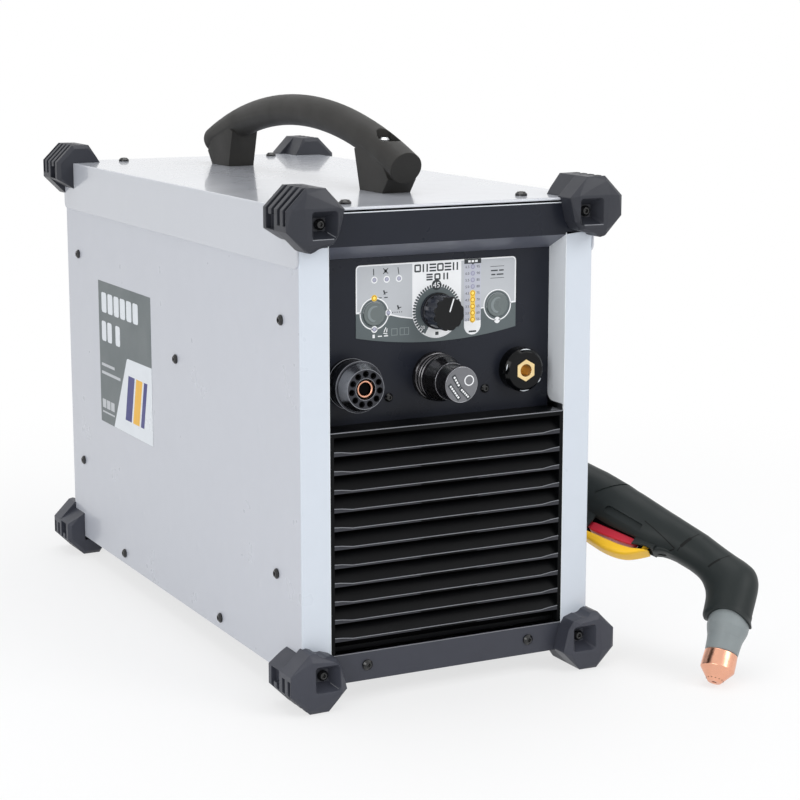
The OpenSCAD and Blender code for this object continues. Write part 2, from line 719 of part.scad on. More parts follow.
module regulator_ring() {
  color([0.25, 0.25, 0.26]) machine() facing_front(regulator_x, panel_y, socket_row_z) {
    tube(ring_r, stem_r + fit_gap, ring_h - 1);
    translate([0, 0, ring_h - 1]) tube(ring_r - 0.9, stem_r + fit_gap, 1);
  }
}
module regulator_stem() {
  color("silver") machine() facing_front(regulator_x, panel_y, socket_row_z) {
    translate([0, 0, -stem_back]) cylinder(r = stem_r, h = stem_back + stem_out);
    translate([0, 0, stem_out]) cylinder(r = spindle_r, h = spindle_len);
  }
}
module regulator_knob() {
  low = ring_h + 0.5;
  color([0.25, 0.25, 0.26]) machine() facing_front(regulator_x, panel_y, socket_row_z) difference() {
    rotate_extrude($fn = fine) polygon([[0, low], [20.8, low], [20.8, low + 3], [20.2, low + 3.4],
      [20.2, low + 4.2], [20.6, low + 4.6], [20.4, low + 8], [19.4, low + 11],
      [17, low + 16], [14.8, low + 21], [14.6, 29.5], [15.4, 30], [15.4, 31],
      [15, regulator_out - 0.8], [14.2, regulator_out], [0, regulator_out]]);
    translate([0, 0, -cut]) cylinder(r = stem_r + gap, h = stem_out + 1 + cut);
    cylinder(r = spindle_r + fit_gap, h = stem_out + spindle_len + 0.5);
  }
}

// ---- Inside ----
shelf_z = 200;
shelf_y = [90, 500];
module inner_shelf() {
  cord_hole_r = 9;
  color("gray") machine() difference() {
    box(-half_w + sheet, half_w - sheet, shelf_y[0], shelf_y[1], shelf_z, shelf_z + sheet);
    for (x = [-90, 90]) translate([x, shelf_y[0] + 40, shelf_z - cut])
      cylinder(r = cord_hole_r, h = sheet + 2 * cut);
  }
}
sink_y = [180, 420];
sink_half = 62;
sink_base = 8;
fin_n = 13;
fin_t = 2;
fin_pitch = 10;
fin_low = 135;
module heatsink() {
  first = -(fin_n - 1) / 2 * fin_pitch - fin_t / 2;
  color("lightgray") machine() {
    box(-sink_half, sink_half, sink_y[0], sink_y[1], shelf_z - sink_base, shelf_z);
    for (i = [0:fin_n - 1]) translate([first + i * fin_pitch, 0, 0])
      box(0, fin_t, sink_y[0], sink_y[1], fin_low, shelf_z - sink_base);
  }
}
board_z = shelf_z + 12;
power_half = 105;
power_y = [120, 480];
power_t = 2;
module power_board() {
  inset = 8;
  top = board_z + power_t;
  color("darkgreen") machine() {
    box(-power_half, power_half, power_y[0], power_y[1], board_z, top);
    for (s = [-1, 1], y = [power_y[0] + inset, power_y[1] - inset])
      translate([s * (power_half - inset + 1), y, shelf_z + sheet])
        cylinder(r = 4, h = board_z - shelf_z - sheet);
    for (i = [0:3]) translate([0, i * 60, 0]) box(-90, -66, 160, 195, top, top + 22);  // switching modules
    box(20, 70, 170, 240, top, top + 38);                                             // filter choke
    box(20, 60, 380, 440, top, top + 28);                                             // relay
  }
}
core_y = 85;
module transformer() {
  low = side_bottom + pan_t;
  color([0.25, 0.22, 0.2]) machine() difference() {
    union() {
      box(-45, 45, core_y - 25, core_y + 25, low, low + 78);
      box(-36, 36, core_y - 37, core_y + 37, low + 18, low + 60);
    }
    for (x = [-38, 38]) translate([x, core_y, low - cut]) cylinder(r = 2.5, h = 100);
  }
}
coil_y = 470;
coil_r = 26;
wire_r = 14;
module inductor() {
  mid = wire_r + 3;
  color([0.6, 0.35, 0.2]) machine() translate([0, coil_y, side_bottom + pan_t]) {
    cylinder(r = 24, h = 4);
    translate([0, 0, mid]) rotate_extrude() translate([coil_r, 0]) circle(wire_r);
    cylinder(r = 10, h = mid + 3);
    translate([0, 0, mid]) cylinder(r = 16, h = 2);
  }
}
can_r = 17;
can_h = 50;
can_edge = 1.5;
module capacitors() {
  color([0.15, 0.2, 0.35]) machine() for (i = [0:3])
    translate([-20, 170 + i * 70, board_z + power_t]) {
      cylinder(r = can_r, h = can_h);
      translate([0, 0, can_h]) cylinder(r1 = can_r, r2 = can_r - can_edge, h = can_edge);
    }
}
valve_half = 18;
valve_y = [500, 545];
module air_valve() {
  mid_y = (valve_y[0] + valve_y[1]) / 2;
  top = air_z + valve_half;
  color([0.7, 0.72, 0.74]) machine() {
    box(air_x - valve_half, air_x + valve_half, valve_y[0], valve_y[1], air_z - valve_half, top);
    box(air_x - 8, air_x + 8, mid_y - 15, mid_y + 15, side_bottom + pan_t, air_z - valve_half);
    translate([air_x, mid_y, top]) cylinder(r = 13, h = 32);
    translate([air_x, mid_y, top + 32]) cylinder(r = 4, h = 6);
  }
}
fan_size = 120;
fan_depth = 38;
fan_back = rear_y - sheet;
hub_r = 20;
hub_plate = 4;
spindle = 2.5;
module fan_frame() {
  color([0.12, 0.12, 0.13]) machine() translate([0, fan_back, fan_z]) rotate([90, 0, 0]) {
    difference() {
      translate([-fan_size / 2, -fan_size / 2, 0]) cube([fan_size, fan_size, fan_depth]);
      translate([0, 0, -cut]) cylinder(r = fan_bore / 2, h = fan_depth + 2 * cut, $fn = fine);
      for (i = [-1, 1], j = [-1, 1]) translate([i * fan_hole_step / 2, j * fan_hole_step / 2, -cut])
        cylinder(r = screw_hole_r, h = fan_depth + 2 * cut);
    }
    translate([0, 0, fan_depth - hub_plate - 0.5]) {
      cylinder(r = hub_r, h = hub_plate);
      for (a = [30:90:300]) rotate(a) translate([0, -3, 0.5]) cube([fan_size / 2, 6, hub_plate - 1]);
    }
    translate([0, 0, 8]) cylinder(r = spindle, h = fan_depth - 10);
  }
}
blade_n = 7;
blade_w = 30;
blade_t = 1.6;
blade_twist = 38;
module fan_rotor() {
  color([0.1, 0.1, 0.11]) machine() translate([0, fan_back, fan_z]) rotate([90, 0, 0]) difference() {
    union() {
      translate([0, 0, 5]) cylinder(r = hub_r, h = 27);
      for (i = [0:blade_n - 1]) rotate(i * 360 / blade_n)
        translate([hub_r - 1, 0, 18]) rotate([blade_twist, 0, 0])
          translate([0, -blade_w / 2, -blade_t / 2]) cube([fan_bore / 2 - hub_r - 5, blade_w, blade_t]);
    }
    translate([0, 0, 7]) cylinder(r = spindle + fit_gap, h = 40);
  }
}
grille_t = 3;
grille_wire = 2.2;
module rear_grille() {
  color([0.16, 0.16, 0.17]) machine() facing_rear(0, rear_y, fan_z) {
    for (r = [12:8:60]) tube(r, r - grille_wire, grille_t);
    for (a = [45:90:315]) rotate(a) translate([10, -1.5, 0]) cube([61, grille_t, grille_t]);
    for (i = [-1, 1], j = [-1, 1]) translate([i * fan_hole_step / 2, j * fan_hole_step / 2, 0])
      tube(6, screw_hole_r, grille_t);
  }
}
switch_r = 10.7;
switch_plate = 48;
plate_t = 4;
switch_step = 3;
switch_shaft_r = 4;
module power_switch_body() {
  color([0.09, 0.09, 0.1]) machine() facing_rear(switch_x, rear_y, switch_z) difference() {
    union() {
      translate([0, 0, -34]) cylinder(r = switch_r, h = 34);
      linear_extrude(plate_t) round_rect(switch_plate, switch_plate, 5);
      translate([0, 0, plate_t]) cylinder(r = 17, h = switch_step);
    }
    translate([0, 0, -6]) cylinder(r = switch_shaft_r + fit_gap, h = 20);
  }
}
module power_switch_knob() {
  low = plate_t + switch_step + 0.4;
  disc_t = 4;
  color([0.75, 0.1, 0.1]) machine() facing_rear(switch_x, rear_y, switch_z) {
    translate([0, 0, -4]) cylinder(r = switch_shaft_r, h = low + 4.6);
    translate([0, 0, low]) cylinder(r = 15.5, h = disc_t);
    translate([-4, -14.5, low + disc_t]) cube([8, 29, 7]);
  }
}
gland_r = 9.7;
gland_nut = 6;
module mains_gland() {
  color([0.1, 0.1, 0.11]) machine() facing_rear(gland_x, rear_y, gland_z) difference() {
    union() {
      translate([0, 0, -12]) cylinder(r = gland_r, h = 12);
      cylinder(r = 15.5, h = gland_nut, $fn = 6);
      translate([0, 0, gland_nut]) cylinder(r = 12, h = 5);
      translate([0, 0, gland_nut + 5]) cylinder(r1 = 12, r2 = 9, h = 5);
    }
    translate([0, 0, -20]) cylinder(r = gland_bore_r, h = 60);
  }
}
air_r = 8.2;
air_back = rear_y - valve_y[1];  // reaches the valve inside
air_nut = 7;
module air_inlet() {
  color([0.8, 0.66, 0.36]) machine() facing_rear(air_x, rear_y, air_z) difference() {
    union() {
      translate([0, 0, -air_back]) cylinder(r = air_r, h = air_back);
      cylinder(r = 12.5, h = air_nut, $fn = 6);
      translate([0, 0, air_nut]) cylinder(r = 9, h = 9);
    }
    translate([0, 0, -20]) cylinder(r = air_bore_r, h = 60);
  }
}

// ---- Torch ----
// Local frame: the elbow is the origin, +X runs along the handle to its rear
// end and +Z points away from the head.
module torch() {
  machine() translate(torch_e) rotate([torch_roll, -torch_rise, torch_yaw]) children();
}
// Local z runs from the elbow along the head.
module along_head() { rotate([0, 90 + head_angle, 0]) children(); }

ring_n = 32;
squareness = 0.86;
function bulge(v) = sign(v) * pow(abs(v), squareness);
// Each section: distance from the elbow, height of the middle, half height, half width.
function handle_sections(k) = [[45, 6.5, 16.4, 16.3], [66, 6.3, 16.9, 16.6], [76, 5.2, 18.2, 16.9],
  [90, 3.8, 19.8, 17.2], [110, 3.5, 20.6, 17.5], [140, 2.8, 21.8, 17.8], [0.86 * k, 2.2, 19.8, 17.8],
  [0.965 * k, 2.2, 17.4, 16.2], [0.99 * k, 2.1, 15.4, 14.2], [k, 2, 13.2, 12]];
module loft(sections) {
  n = len(sections);
  points = [for (s = sections, i = [0:ring_n - 1]) let(a = i * 360 / ring_n)
    [s[0], s[3] * bulge(cos(a)), s[1] + s[2] * bulge(sin(a))]];
  skin = [for (k = [0:n - 2], i = [0:ring_n - 1])
    let(j = (i + 1) % ring_n, a = k * ring_n + i, b = k * ring_n + j, c = b + ring_n, d = a + ring_n)
      each [[a, d, c], [a, c, b]]];
  ends = [[for (i = [0:ring_n - 1]) i], [for (i = [ring_n - 1:-1:0]) (n - 1) * ring_n + i]];
  polyhedron(points, concat(skin, ends));
}
neck_x = 45;                     // where the handle shells meet the neck
neck_z = 5.6;
neck_r = 15.8;
spigot_r = 11;
spigot_end = 75;
hollow_r = 12;
lead_r = 8;
trigger_slot = [96, 164];        // slots under the handle, from and to along X
guard_slot = [80.5, 94];
recess_x = [95.5, 131.5];
recess_z = [-10.2, -4];
flank_deep = 3.4;
trigger_pin = [104, -9.5];
trigger_pin_r = 2;
trigger_pin_len = 22;
guard_pin = [86.5, -10.5];
guard_pin_r = 1.5;
guard_pin_len = 17;
module pin_at(p, r, len) {
  translate([p[0], 0, p[1]]) rotate([90, 0, 0]) cylinder(r = r, h = len, center = true);
}
module torch_shell(side) {
  difference() {
    intersection() {
      loft(handle_sections(torch_len));
      translate([0, side > 0 ? 0 : -100, -100]) cube([300, 100, 200]);
    }
    translate([neck_x - cut, 0, neck_z]) rotate([0, 90, 0])
      cylinder(r = spigot_r + fit_gap, h = spigot_end - neck_x + 2 * cut);
    translate([spigot_end, 0, 3]) rotate([0, 90, 0]) cylinder(r = hollow_r, h = torch_len - spigot_end - 8);
    translate([torch_len - 20, 0, 2.5]) rotate([0, 90, 0]) cylinder(r = lead_r, h = 40);
    box(trigger_slot[0], trigger_slot[1], -7.5, 7.5, -40, 0);
    box(guard_slot[0], guard_slot[1], -5.5, 5.5, -40, 0);
    pin_at(trigger_pin, trigger_pin_r + fit_gap, trigger_pin_len + 1);
    pin_at(guard_pin, guard_pin_r + fit_gap, guard_pin_len + 1);
    // shallow recess on each flank
    for (y = [-20, 20 - flank_deep])
      box(recess_x[0], recess_x[1], y, y + flank_deep, recess_z[0], recess_z[1]);
  }
}
module torch_shell_left() { color([0.2, 0.22, 0.23]) torch() torch_shell(-1); }
module torch_shell_right() { color([0.2, 0.22, 0.23]) torch() torch_shell(1); }

rim_s = 34;                      // distance of the head's rim from the elbow
cup_s = 24;
core_r = 10;
core_end = 48;
head_r = 20;
gusset_r = 13;                   // gusset under the neck
gusset_from = [5.2, 0, -10.8];
gusset_turn = 62.3;
gusset_len = 35.8;
module torch_head() {
  color([0.2, 0.22, 0.23]) torch() {
    translate([10, 0, neck_z]) rotate([0, 90, 0]) cylinder(r = neck_r, h = neck_x - 10);
    translate([neck_x - 1, 0, neck_z]) rotate([0, 90, 0]) cylinder(r = spigot_r, h = spigot_end - neck_x);
    along_head() {
      difference() {
        rotate_extrude($fn = fine) polygon(concat([for (a = [-90:7.5:0]) head_r * [cos(a), sin(a)]],
          [[head_r - 0.5, rim_s], [0, rim_s]]));
        translate([0, 0, cup_s - 0.5]) cylinder(r = 17.7, h = rim_s);
      }
      translate([0, 0, cup_s - 2]) cylinder(r = core_r, h = core_end - cup_s + 2);
    }
    translate(gusset_from) rotate([0, gusset_turn, 0]) cylinder(r = gusset_r, h = gusset_len);
  }
}
module torch_electrode() {
  color([0.8, 0.5, 0.35]) torch() along_head() translate([0, 0, core_end]) {
    cylinder(r = 7, h = 8);
    cylinder(r = 4.5, h = 24);
  }
}
taper_s = 50;                    // end of the cup's taper
shield_s = 61;                   // where the shield meets the cup
cup_r = 17.4;
nose_r = 13.9;
shield_bore_r = 11;
cone_s = 75;                     // where the shield's cone begins
orifice_r = 2;
vent_hole_n = 10;
module retaining_cup() {
  color([0.5, 0.53, 0.55]) torch() along_head() difference() {
    rotate_extrude($fn = fine) polygon([[0, cup_s + gap], [cup_r, cup_s + gap], [cup_r, taper_s - 9],
      [nose_r, taper_s], [nose_r, shield_s], [0, shield_s]]);
    translate([0, 0, cup_s]) cylinder(r = core_r + fit_gap, h = taper_s - cup_s);
    translate([0, 0, taper_s - cut]) cylinder(r = shield_bore_r, h = 20);
  }
}
module shield_cap() {
  color([0.82, 0.52, 0.38]) torch() along_head() difference() {
    rotate_extrude($fn = fine) polygon([[0, taper_s + 4], [shield_bore_r, taper_s + 4],
      [shield_bore_r, shield_s], [nose_r, shield_s], [nose_r + 0.4, cone_s], [5.5, head_len], [0, head_len]]);
    translate([0, 0, taper_s]) cylinder(r = 9, h = cone_s - 1 - taper_s);
    translate([0, 0, cone_s - 1.01]) cylinder(r1 = 9, r2 = orifice_r, h = 8);
    cylinder(r = orifice_r, h = 100);
    for (i = [0:vent_hole_n - 1]) rotate(i * 360 / vent_hole_n)
      translate([8, 0, cone_s - 5]) cylinder(r = 0.5, h = 20, $fn = 16);
  }
}
// Outlines in the torch's X-Z plane.
trigger_w = 13;
trigger_outline = [[98.5, -7], [104, -5.5], [150, -12.5], [160, -15.5], [160, -20.5],
  [152, -25.6], [142, -26.8], [118, -22.6], [104, -19.5], [98.5, -17]];
guard_w = 18;
guard_bow = [[84, -16.9], [86, -27.5], [94, -33.3], [103, -35.5], [131, -37], [150, -36],
  [160, -33], [160, -29.2], [138, -28.4], [115, -26.5], [100, -22], [92, -17.2]];
tongue_w = 10;
guard_tongue = [[84, -17.5], [83.5, -10], [85.5, -8], [88, -8], [90, -10], [92, -18]];
module slab(outline, w) { rotate([90, 0, 0]) linear_extrude(w, center = true) polygon(outline); }
module torch_trigger() {
  color([0.78, 0.13, 0.18]) torch() {
    slab(trigger_outline, trigger_w);
    pin_at(trigger_pin, trigger_pin_r, trigger_pin_len);
  }
}
module trigger_guard() {
  color([0.97, 0.78, 0.12]) torch() {
    slab(guard_bow, guard_w);
    slab(guard_tongue, tongue_w);
    pin_at(guard_pin, guard_pin_r, guard_pin_len);
  }
}

base_pan();
front_bar();
side_left();
side_right();
lid();
front_band();
control_panel();
control_label();
louvre_block();
rear_panel();
bumper_front_left_top();
bumper_front_right_top();
bumper_front_left_bottom();
bumper_front_right_bottom();
bumper_rear_left_top();
bumper_rear_right_top();
bumper_rear_left_bottom();
bumper_rear_right_bottom();
carry_handle();
handle_screws();
side_screws();
lid_screws();
bumper_screws();
front_screws();
rear_screws();
current_knob();
potentiometer();
mode_button();
set_button();
led_lenses();
display_board();
torch_connector();
connector_contact();
work_socket();
work_socket_insert();
regulator_ring();
regulator_stem();
regulator_knob();
inner_shelf();
heatsink();
power_board();
transformer();
inductor();
capacitors();
air_valve();
fan_frame();
fan_rotor();
rear_grille();
power_switch_body();
power_switch_knob();
mains_gland();
air_inlet();
torch_shell_left();
torch_shell_right();
torch_head();
torch_electrode();
retaining_cup();
shield_cap();
torch_trigger();
trigger_guard();
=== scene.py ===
import bpy, bmesh, json
from math import atan2, copysign, cos, degrees, hypot, pi, radians, sin, sqrt, tan
from mathutils import Matrix, Vector
from mathutils.geometry import tessellate_polygon

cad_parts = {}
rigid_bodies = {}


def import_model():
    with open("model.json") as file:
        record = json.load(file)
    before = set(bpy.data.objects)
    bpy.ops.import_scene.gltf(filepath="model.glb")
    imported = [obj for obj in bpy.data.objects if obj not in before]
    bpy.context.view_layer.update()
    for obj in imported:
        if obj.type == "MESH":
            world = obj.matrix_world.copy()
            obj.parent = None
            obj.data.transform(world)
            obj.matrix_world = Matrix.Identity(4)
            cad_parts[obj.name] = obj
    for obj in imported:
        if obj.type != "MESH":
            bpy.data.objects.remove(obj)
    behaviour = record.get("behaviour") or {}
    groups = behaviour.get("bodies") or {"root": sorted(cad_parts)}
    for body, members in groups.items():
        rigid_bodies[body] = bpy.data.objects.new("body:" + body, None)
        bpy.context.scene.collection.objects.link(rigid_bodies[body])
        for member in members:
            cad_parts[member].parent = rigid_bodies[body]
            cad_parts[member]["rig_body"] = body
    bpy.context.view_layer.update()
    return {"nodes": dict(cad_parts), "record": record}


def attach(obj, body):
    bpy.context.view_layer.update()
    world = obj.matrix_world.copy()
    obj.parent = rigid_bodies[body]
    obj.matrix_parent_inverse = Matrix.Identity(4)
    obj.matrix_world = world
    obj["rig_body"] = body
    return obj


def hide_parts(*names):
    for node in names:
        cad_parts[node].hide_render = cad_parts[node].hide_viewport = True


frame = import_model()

NODES = frame["nodes"]
BODY = {n: o["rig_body"] for n, o in NODES.items()}
SLOT = {s["node"]: s["material_slot"] for s in frame["record"]["subparts"]}
MX, MY = -52.7, -236.5
# the casing, in millimetres from its front middle
HALF_W, DEPTH, LID_TOP = 132.5, 565.0, 398.6
PILLAR_IN, PANEL_Y, LABEL_T, SHEET = 107.0, 26.0, 0.6, 1.5


def W(x, y, z):
    """A point of the machine, in millimetres from the casing's front middle, in the row frame."""
    return Vector(((x + MX) / 1000, (y + MY) / 1000, z / 1000))


def circle(n):
    """(cos, sin) at n equal steps round a circle."""
    return [(cos(2 * pi * i / n), sin(2 * pi * i / n)) for i in range(n)]


def on_ring(x, z, r, a):
    return x + r * cos(radians(a)), z + r * sin(radians(a))


# ---- materials
def lin(c):
    c = c / 255
    return c / 12.92 if c <= 0.04045 else ((c + 0.055) / 1.055) ** 2.4


def rgb(h):
    return tuple(lin(int(h[i:i + 2], 16)) for i in (0, 2, 4))


def shade(c, k):
    return tuple(min(1.0, v * k) for v in c)


class Tree:
    """The node tree of a material or of the world, with short calls for its nodes."""

    def __init__(self, owner):
        owner.use_nodes = True
        self.t = owner.node_tree

    def node(self, kind, **values):
        n = self.t.nodes.new("ShaderNode" + kind)
        for k, v in values.items():
            if k in n.inputs:
                n.inputs[k].default_value = v
            else:
                setattr(n, k, v)
        return n

    def link(self, a, b):
        self.t.links.new(a, b)

    def span(self, fac, lo, hi, to_lo, to_hi, curve="LINEAR"):
        """Maps lo to to_lo and hi to to_hi."""
        r = self.node("MapRange", interpolation_type=curve)
        for k, v in (("From Min", lo), ("From Max", hi), ("To Min", to_lo), ("To Max", to_hi)):
            r.inputs[k].default_value = v
        self.link(fac, r.inputs["Value"])
        return r.outputs["Result"]

    def math(self, op, a, b):
        n = self.node("Math", operation=op)
        self.link(a, n.inputs[0])
        self.link(b, n.inputs[1])
        return n.outputs[0]

    def plain_rays(self):
        """1 for the camera, glossy and transmission rays, which see the plain background."""
        rays = self.node("LightPath").outputs
        seen = rays["Is Camera Ray"]
        for ray in ("Is Glossy Ray", "Is Transmission Ray"):
            seen = self.math("MAXIMUM", seen, rays[ray])
        return seen

    def blend(self, fac, a, b, output):
        mix = self.node("MixShader")
        for source, socket in zip((fac, a, b), mix.inputs):
            self.link(source, socket)
        self.link(mix.outputs[0], self.t.nodes[output].inputs["Surface"])


class Graph(Tree):
    """A material's tree, its main shader and the object's own coordinates."""

    def __init__(self, name):
        self.m = bpy.data.materials.new(name)
        super().__init__(self.m)
        self.p = self.t.nodes["Principled BSDF"]
        self.tc = self.node("TexCoord").outputs["Object"]

    def set(self, **values):
        for k, v in values.items():
            self.p.inputs[k.replace("_", " ")].default_value = v

    def noise(self, scale, detail=2.0, rough=0.5):
        n = self.node("TexNoise", Scale=scale, Detail=detail, Roughness=rough)
        self.link(self.tc, n.inputs["Vector"])
        return n.outputs["Fac"]

    def colour(self, fac, low, high):
        """Base colour from low to high as fac goes from 0.3 to 0.7."""
        r = self.node("ValToRGB")
        for stop, pos, col in zip(r.color_ramp.elements, (0.3, 0.7), (low, high)):
            stop.position = pos
            stop.color = (*col, 1)
        self.link(fac, r.inputs["Fac"])
        self.link(r.outputs["Color"], self.p.inputs["Base Color"])

    def bump(self, height, strength, distance):
        b = self.node("Bump", Strength=strength, Distance=distance)
        self.link(height, b.inputs["Height"])
        if self.p.inputs["Normal"].links:
            self.link(self.p.inputs["Normal"].links[0].from_socket, b.inputs["Normal"])
        self.link(b.outputs["Normal"], self.p.inputs["Normal"])


LOOK = {}


def look(name, hexa, rough, mottle, grain, metal=0.0, coat=0.0, blur=0.06, spec=0.5, edge=0):
    """A moulded, painted or machined finish. Its colour wanders by mottle and its roughness by
    blur. grain is a bump's scale, strength and depth; edge is the radius that rounds sharp
    corners. Both lengths are in 0.1 mm."""
    g = Graph(name)
    c = rgb(hexa)
    g.colour(g.noise(60, 4, 0.6), shade(c, 1 - mottle), shade(c, 1 + mottle))
    wander = g.span(g.noise(25, 3, 0.6), 0.3, 0.7, rough - blur, rough + blur)
    g.link(wander, g.p.inputs["Roughness"])
    g.set(Metallic=metal, Specular_IOR_Level=spec)
    if coat:
        g.set(Coat_Weight=coat, Coat_Roughness=0.05)
    if edge:
        b = g.node("Bevel", Radius=edge / 10000, samples=4)
        g.link(b.outputs["Normal"], g.p.inputs["Normal"])
    scale, strength, depth = grain
    g.bump(g.noise(scale), strength, depth / 10000)
    LOOK[name] = g.m
    return g


# gloss powder paint
side = look("casing_grey", "C3C6CE", 0.3, 0.008, (420, 0.05, 2), coat=0.3, blur=0.03)
look("lid_grey", "C5C8CF", 0.22, 0.006, (380, 0.04, 2), coat=0.5, blur=0.02)
# the pillars are folds of the side sheets: their front faces and inner returns get paler copies of the
# side's paint, as painted light
look("pillar_front_painted_light", "D3DAE3", 0.3, 0.008, (420, 0.05, 2), coat=0.3, blur=0.03)
look("pillar_return_painted_light", "F3F7FB", 0.3, 0.008, (420, 0.05, 2), coat=0.3, blur=0.03)
look("zinc_steel", "8D9094", 0.45, 0.06, (300, 0.2, 2), metal=0.9)
look("bar_grey", "3C3E47", 0.4, 0.03, (900, 0.2, 2), spec=0.35, edge=8)
look("band_black", "20232C", 0.3, 0.03, (700, 0.08, 1), spec=0.22, edge=8)
look("band_bevel_painted_light", "61646F", 0.36, 0.08, (700, 0.06, 1), spec=0.35)
look("label_print", "5F686A", 0.35, 0.02, (1500, 0.1, 1), spec=0.35)
look("louvre_black", "08090B", 0.4, 0.05, (800, 0.15, 2), spec=0.1, edge=6)
look("handle_black", "2F2E2C", 0.52, 0.07, (1400, 0.4, 3), spec=0.22, edge=16)
look("bumper_black", "2E3037", 0.44, 0.05, (1100, 0.2, 2), spec=0.35, edge=12)
# the lower bumpers: the same rubber, painted paler as painted light
look("bumper_low_painted_light", "3D3F48", 0.44, 0.05, (1100, 0.2, 2), spec=0.35, edge=12)
look("steel", "C2C4C6", 0.3, 0.05, (900, 0.1, 1), metal=1.0)
look("screw_black", "0B0C0E", 0.14, 0.08, (1200, 0.05, 1), blur=0.03, spec=0.6, edge=5)
look("knob_black", "0C0D0F", 0.3, 0.06, (1500, 0.15, 1), spec=0.25, edge=6)
look("knob_flank_painted_sheen", "2B2E38", 0.26, 0.06, (1500, 0.15, 1), spec=0.4, edge=6)
look("button_grey", "687171", 0.3, 0.04, (1200, 0.1, 1), coat=0.2)
look("board_green", "12502B", 0.4, 0.2, (500, 0.3, 3), coat=0.3)
look("copper", "EAAE92", 0.24, 0.06, (700, 0.08, 1), metal=1.0, edge=3)
look("brass", "F0D6A0", 0.28, 0.05, (700, 0.08, 1), metal=0.9, edge=4)
look("regulator_grey", "5C5B5D", 0.2, 0.06, (900, 0.1, 1), metal=0.95, blur=0.05, edge=5)
look("bare_aluminium", "C9CBCE", 0.35, 0.05, (400, 0.15, 2), metal=1.0)
look("core_iron", "4A4440", 0.6, 0.15, (500, 0.4, 3), metal=0.4)
look("sleeve_blue", "273A63", 0.35, 0.08, (500, 0.1, 2), coat=0.3)
look("grille_black", "18191B", 0.45, 0.06, (900, 0.2, 2), spec=0.2, edge=8)
look("trigger_red", "CE2A3F", 0.3, 0.05, (1200, 0.15, 2), spec=0.3)
look("torch_black", "242929", 0.42, 0.05, (1300, 0.25, 2), spec=0.2)
look("torch_seam", "0B0D0D", 0.6, 0.1, (900, 0.2, 1), spec=0.2)
look("cup_grey", "888F90", 0.45, 0.04, (900, 0.25, 2), spec=0.35)
look("guard_yellow", "FCC62A", 0.34, 0.04, (1200, 0.15, 2), spec=0.3)
look("gloss_black", "07080A", 0.1, 0.05, (900, 0.05, 1), blur=0.02, spec=0.2, edge=12)
look("connector_metal", "3C3D42", 0.24, 0.06, (900, 0.1, 1), metal=0.85, edge=5)
# a grey for painted highlights along edges
look("painted_highlight", "7C7E83", 0.35, 0.08, (1200, 0.15, 1), spec=0.4)
look("lip_painted_light", "303137", 0.35, 0.08, (1200, 0.15, 1), spec=0.3)
# a pale white for the decal's print, and for painted highlights on edges and on the socket
look("pale_print_and_highlight", "E2E7EC", 0.3, 0.02, (1200, 0.1, 1), coat=0.2)
# near-black that stands in for the shade in holes and behind the louvres
look("painted_shade_black", "050506", 0.8, 0.2, (2500, 0.5, 3), spec=0.05)
look("bright_metal", "9A9BA0", 0.22, 0.08, (1200, 0.1, 1), metal=1.0)
look("face_metal", "77787C", 0.4, 0.05, (1600, 0.15, 1), metal=0.6)
look("lens_clear", "B8B9CC", 0.15, 0.05, (900, 0.1, 1), coat=0.4)
# glow is painted light of the lit lamps, not ink; the other colours are print
for name, hexa in (("white", "F7F8F9"), ("pale", "C2C5C9"), ("mist", "C3C5CF"), ("slate", "5F686A"),
                   ("soft", "868F90"), ("amber", "B07E1E"), ("mauve", "8E8EA8"), ("lavender", "B7B8CB"),
                   ("glow", "FFD24A"), ("dark", "34393C"), ("navy", "292B78"), ("yellow", "F4B92A")):
    look("ink_" + name, hexa, 0.36, 0.015, (1500, 0.08, 1), spec=0.35)

lens = Graph("lens_amber")
lens.colour(lens.noise(900), rgb("F6C94A"), rgb("FFE27A"))
lens.link(lens.span(lens.noise(400), 0.3, 0.7, 0.12, 0.2), lens.p.inputs["Roughness"])
lens.set(Emission_Color=(*rgb("FFC840"), 1), Emission_Strength=0.35)
LOOK["lens_amber"] = lens.m


def dimples(g, places, radius, strength, depth):
    """Shallow round marks, as spot welds leave on a sheet."""
    total = None
    for x, y, z in places:
        d = g.node("VectorMath", operation="DISTANCE")
        d.inputs[1].default_value = W(x, y, z)
        g.link(g.tc, d.inputs[0])
        mark = g.span(d.outputs["Value"], 0.0, radius, 1.0, 0.0, "SMOOTHSTEP")
        total = mark if total is None else g.math("ADD", total, mark)
    g.bump(total, strength, -depth)


WELDS = [(y, 81.6) for y in (85, 153.5, 222, 292, 360, 428)] + [(82, 147), (82, 213), (82, 280)]
dimples(side, [(s * HALF_W, y, z) for s in (-1, 1) for y, z in WELDS], 0.0055, 0.3, 0.0006)


# ---- mesh tools
def add_object(name, data):
    ob = bpy.data.objects.new(name, data)
    bpy.context.scene.collection.objects.link(ob)
    return ob


def plain_object(name, bm):
    me = bpy.data.meshes.new(name)
    bmesh.ops.recalc_face_normals(bm, faces=bm.faces)
    bm.to_mesh(me)
    bm.free()
    return add_object(name, me)


def remove(ob):
    me = ob.data
    bpy.data.objects.remove(ob)
    bpy.data.meshes.remove(me)


def to_object(name, bm, body, slot, replace=(), angle=32, finish=None, weighted=True):
    """A piece that rides on body, in its slot's own look unless finish names another."""
    ob = plain_object(name, bm)
    ob.data.materials.append(LOOK[finish or slot])
    ob.data.shade_smooth()
    ob.data.set_sharp_from_angle(angle=radians(angle))
    if weighted:
        wn = ob.modifiers.new("normals", "WEIGHTED_NORMAL")
        wn.keep_sharp = True
        wn.weight = 60
    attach(ob, body)
    if replace:
        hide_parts(*replace)
    return ob


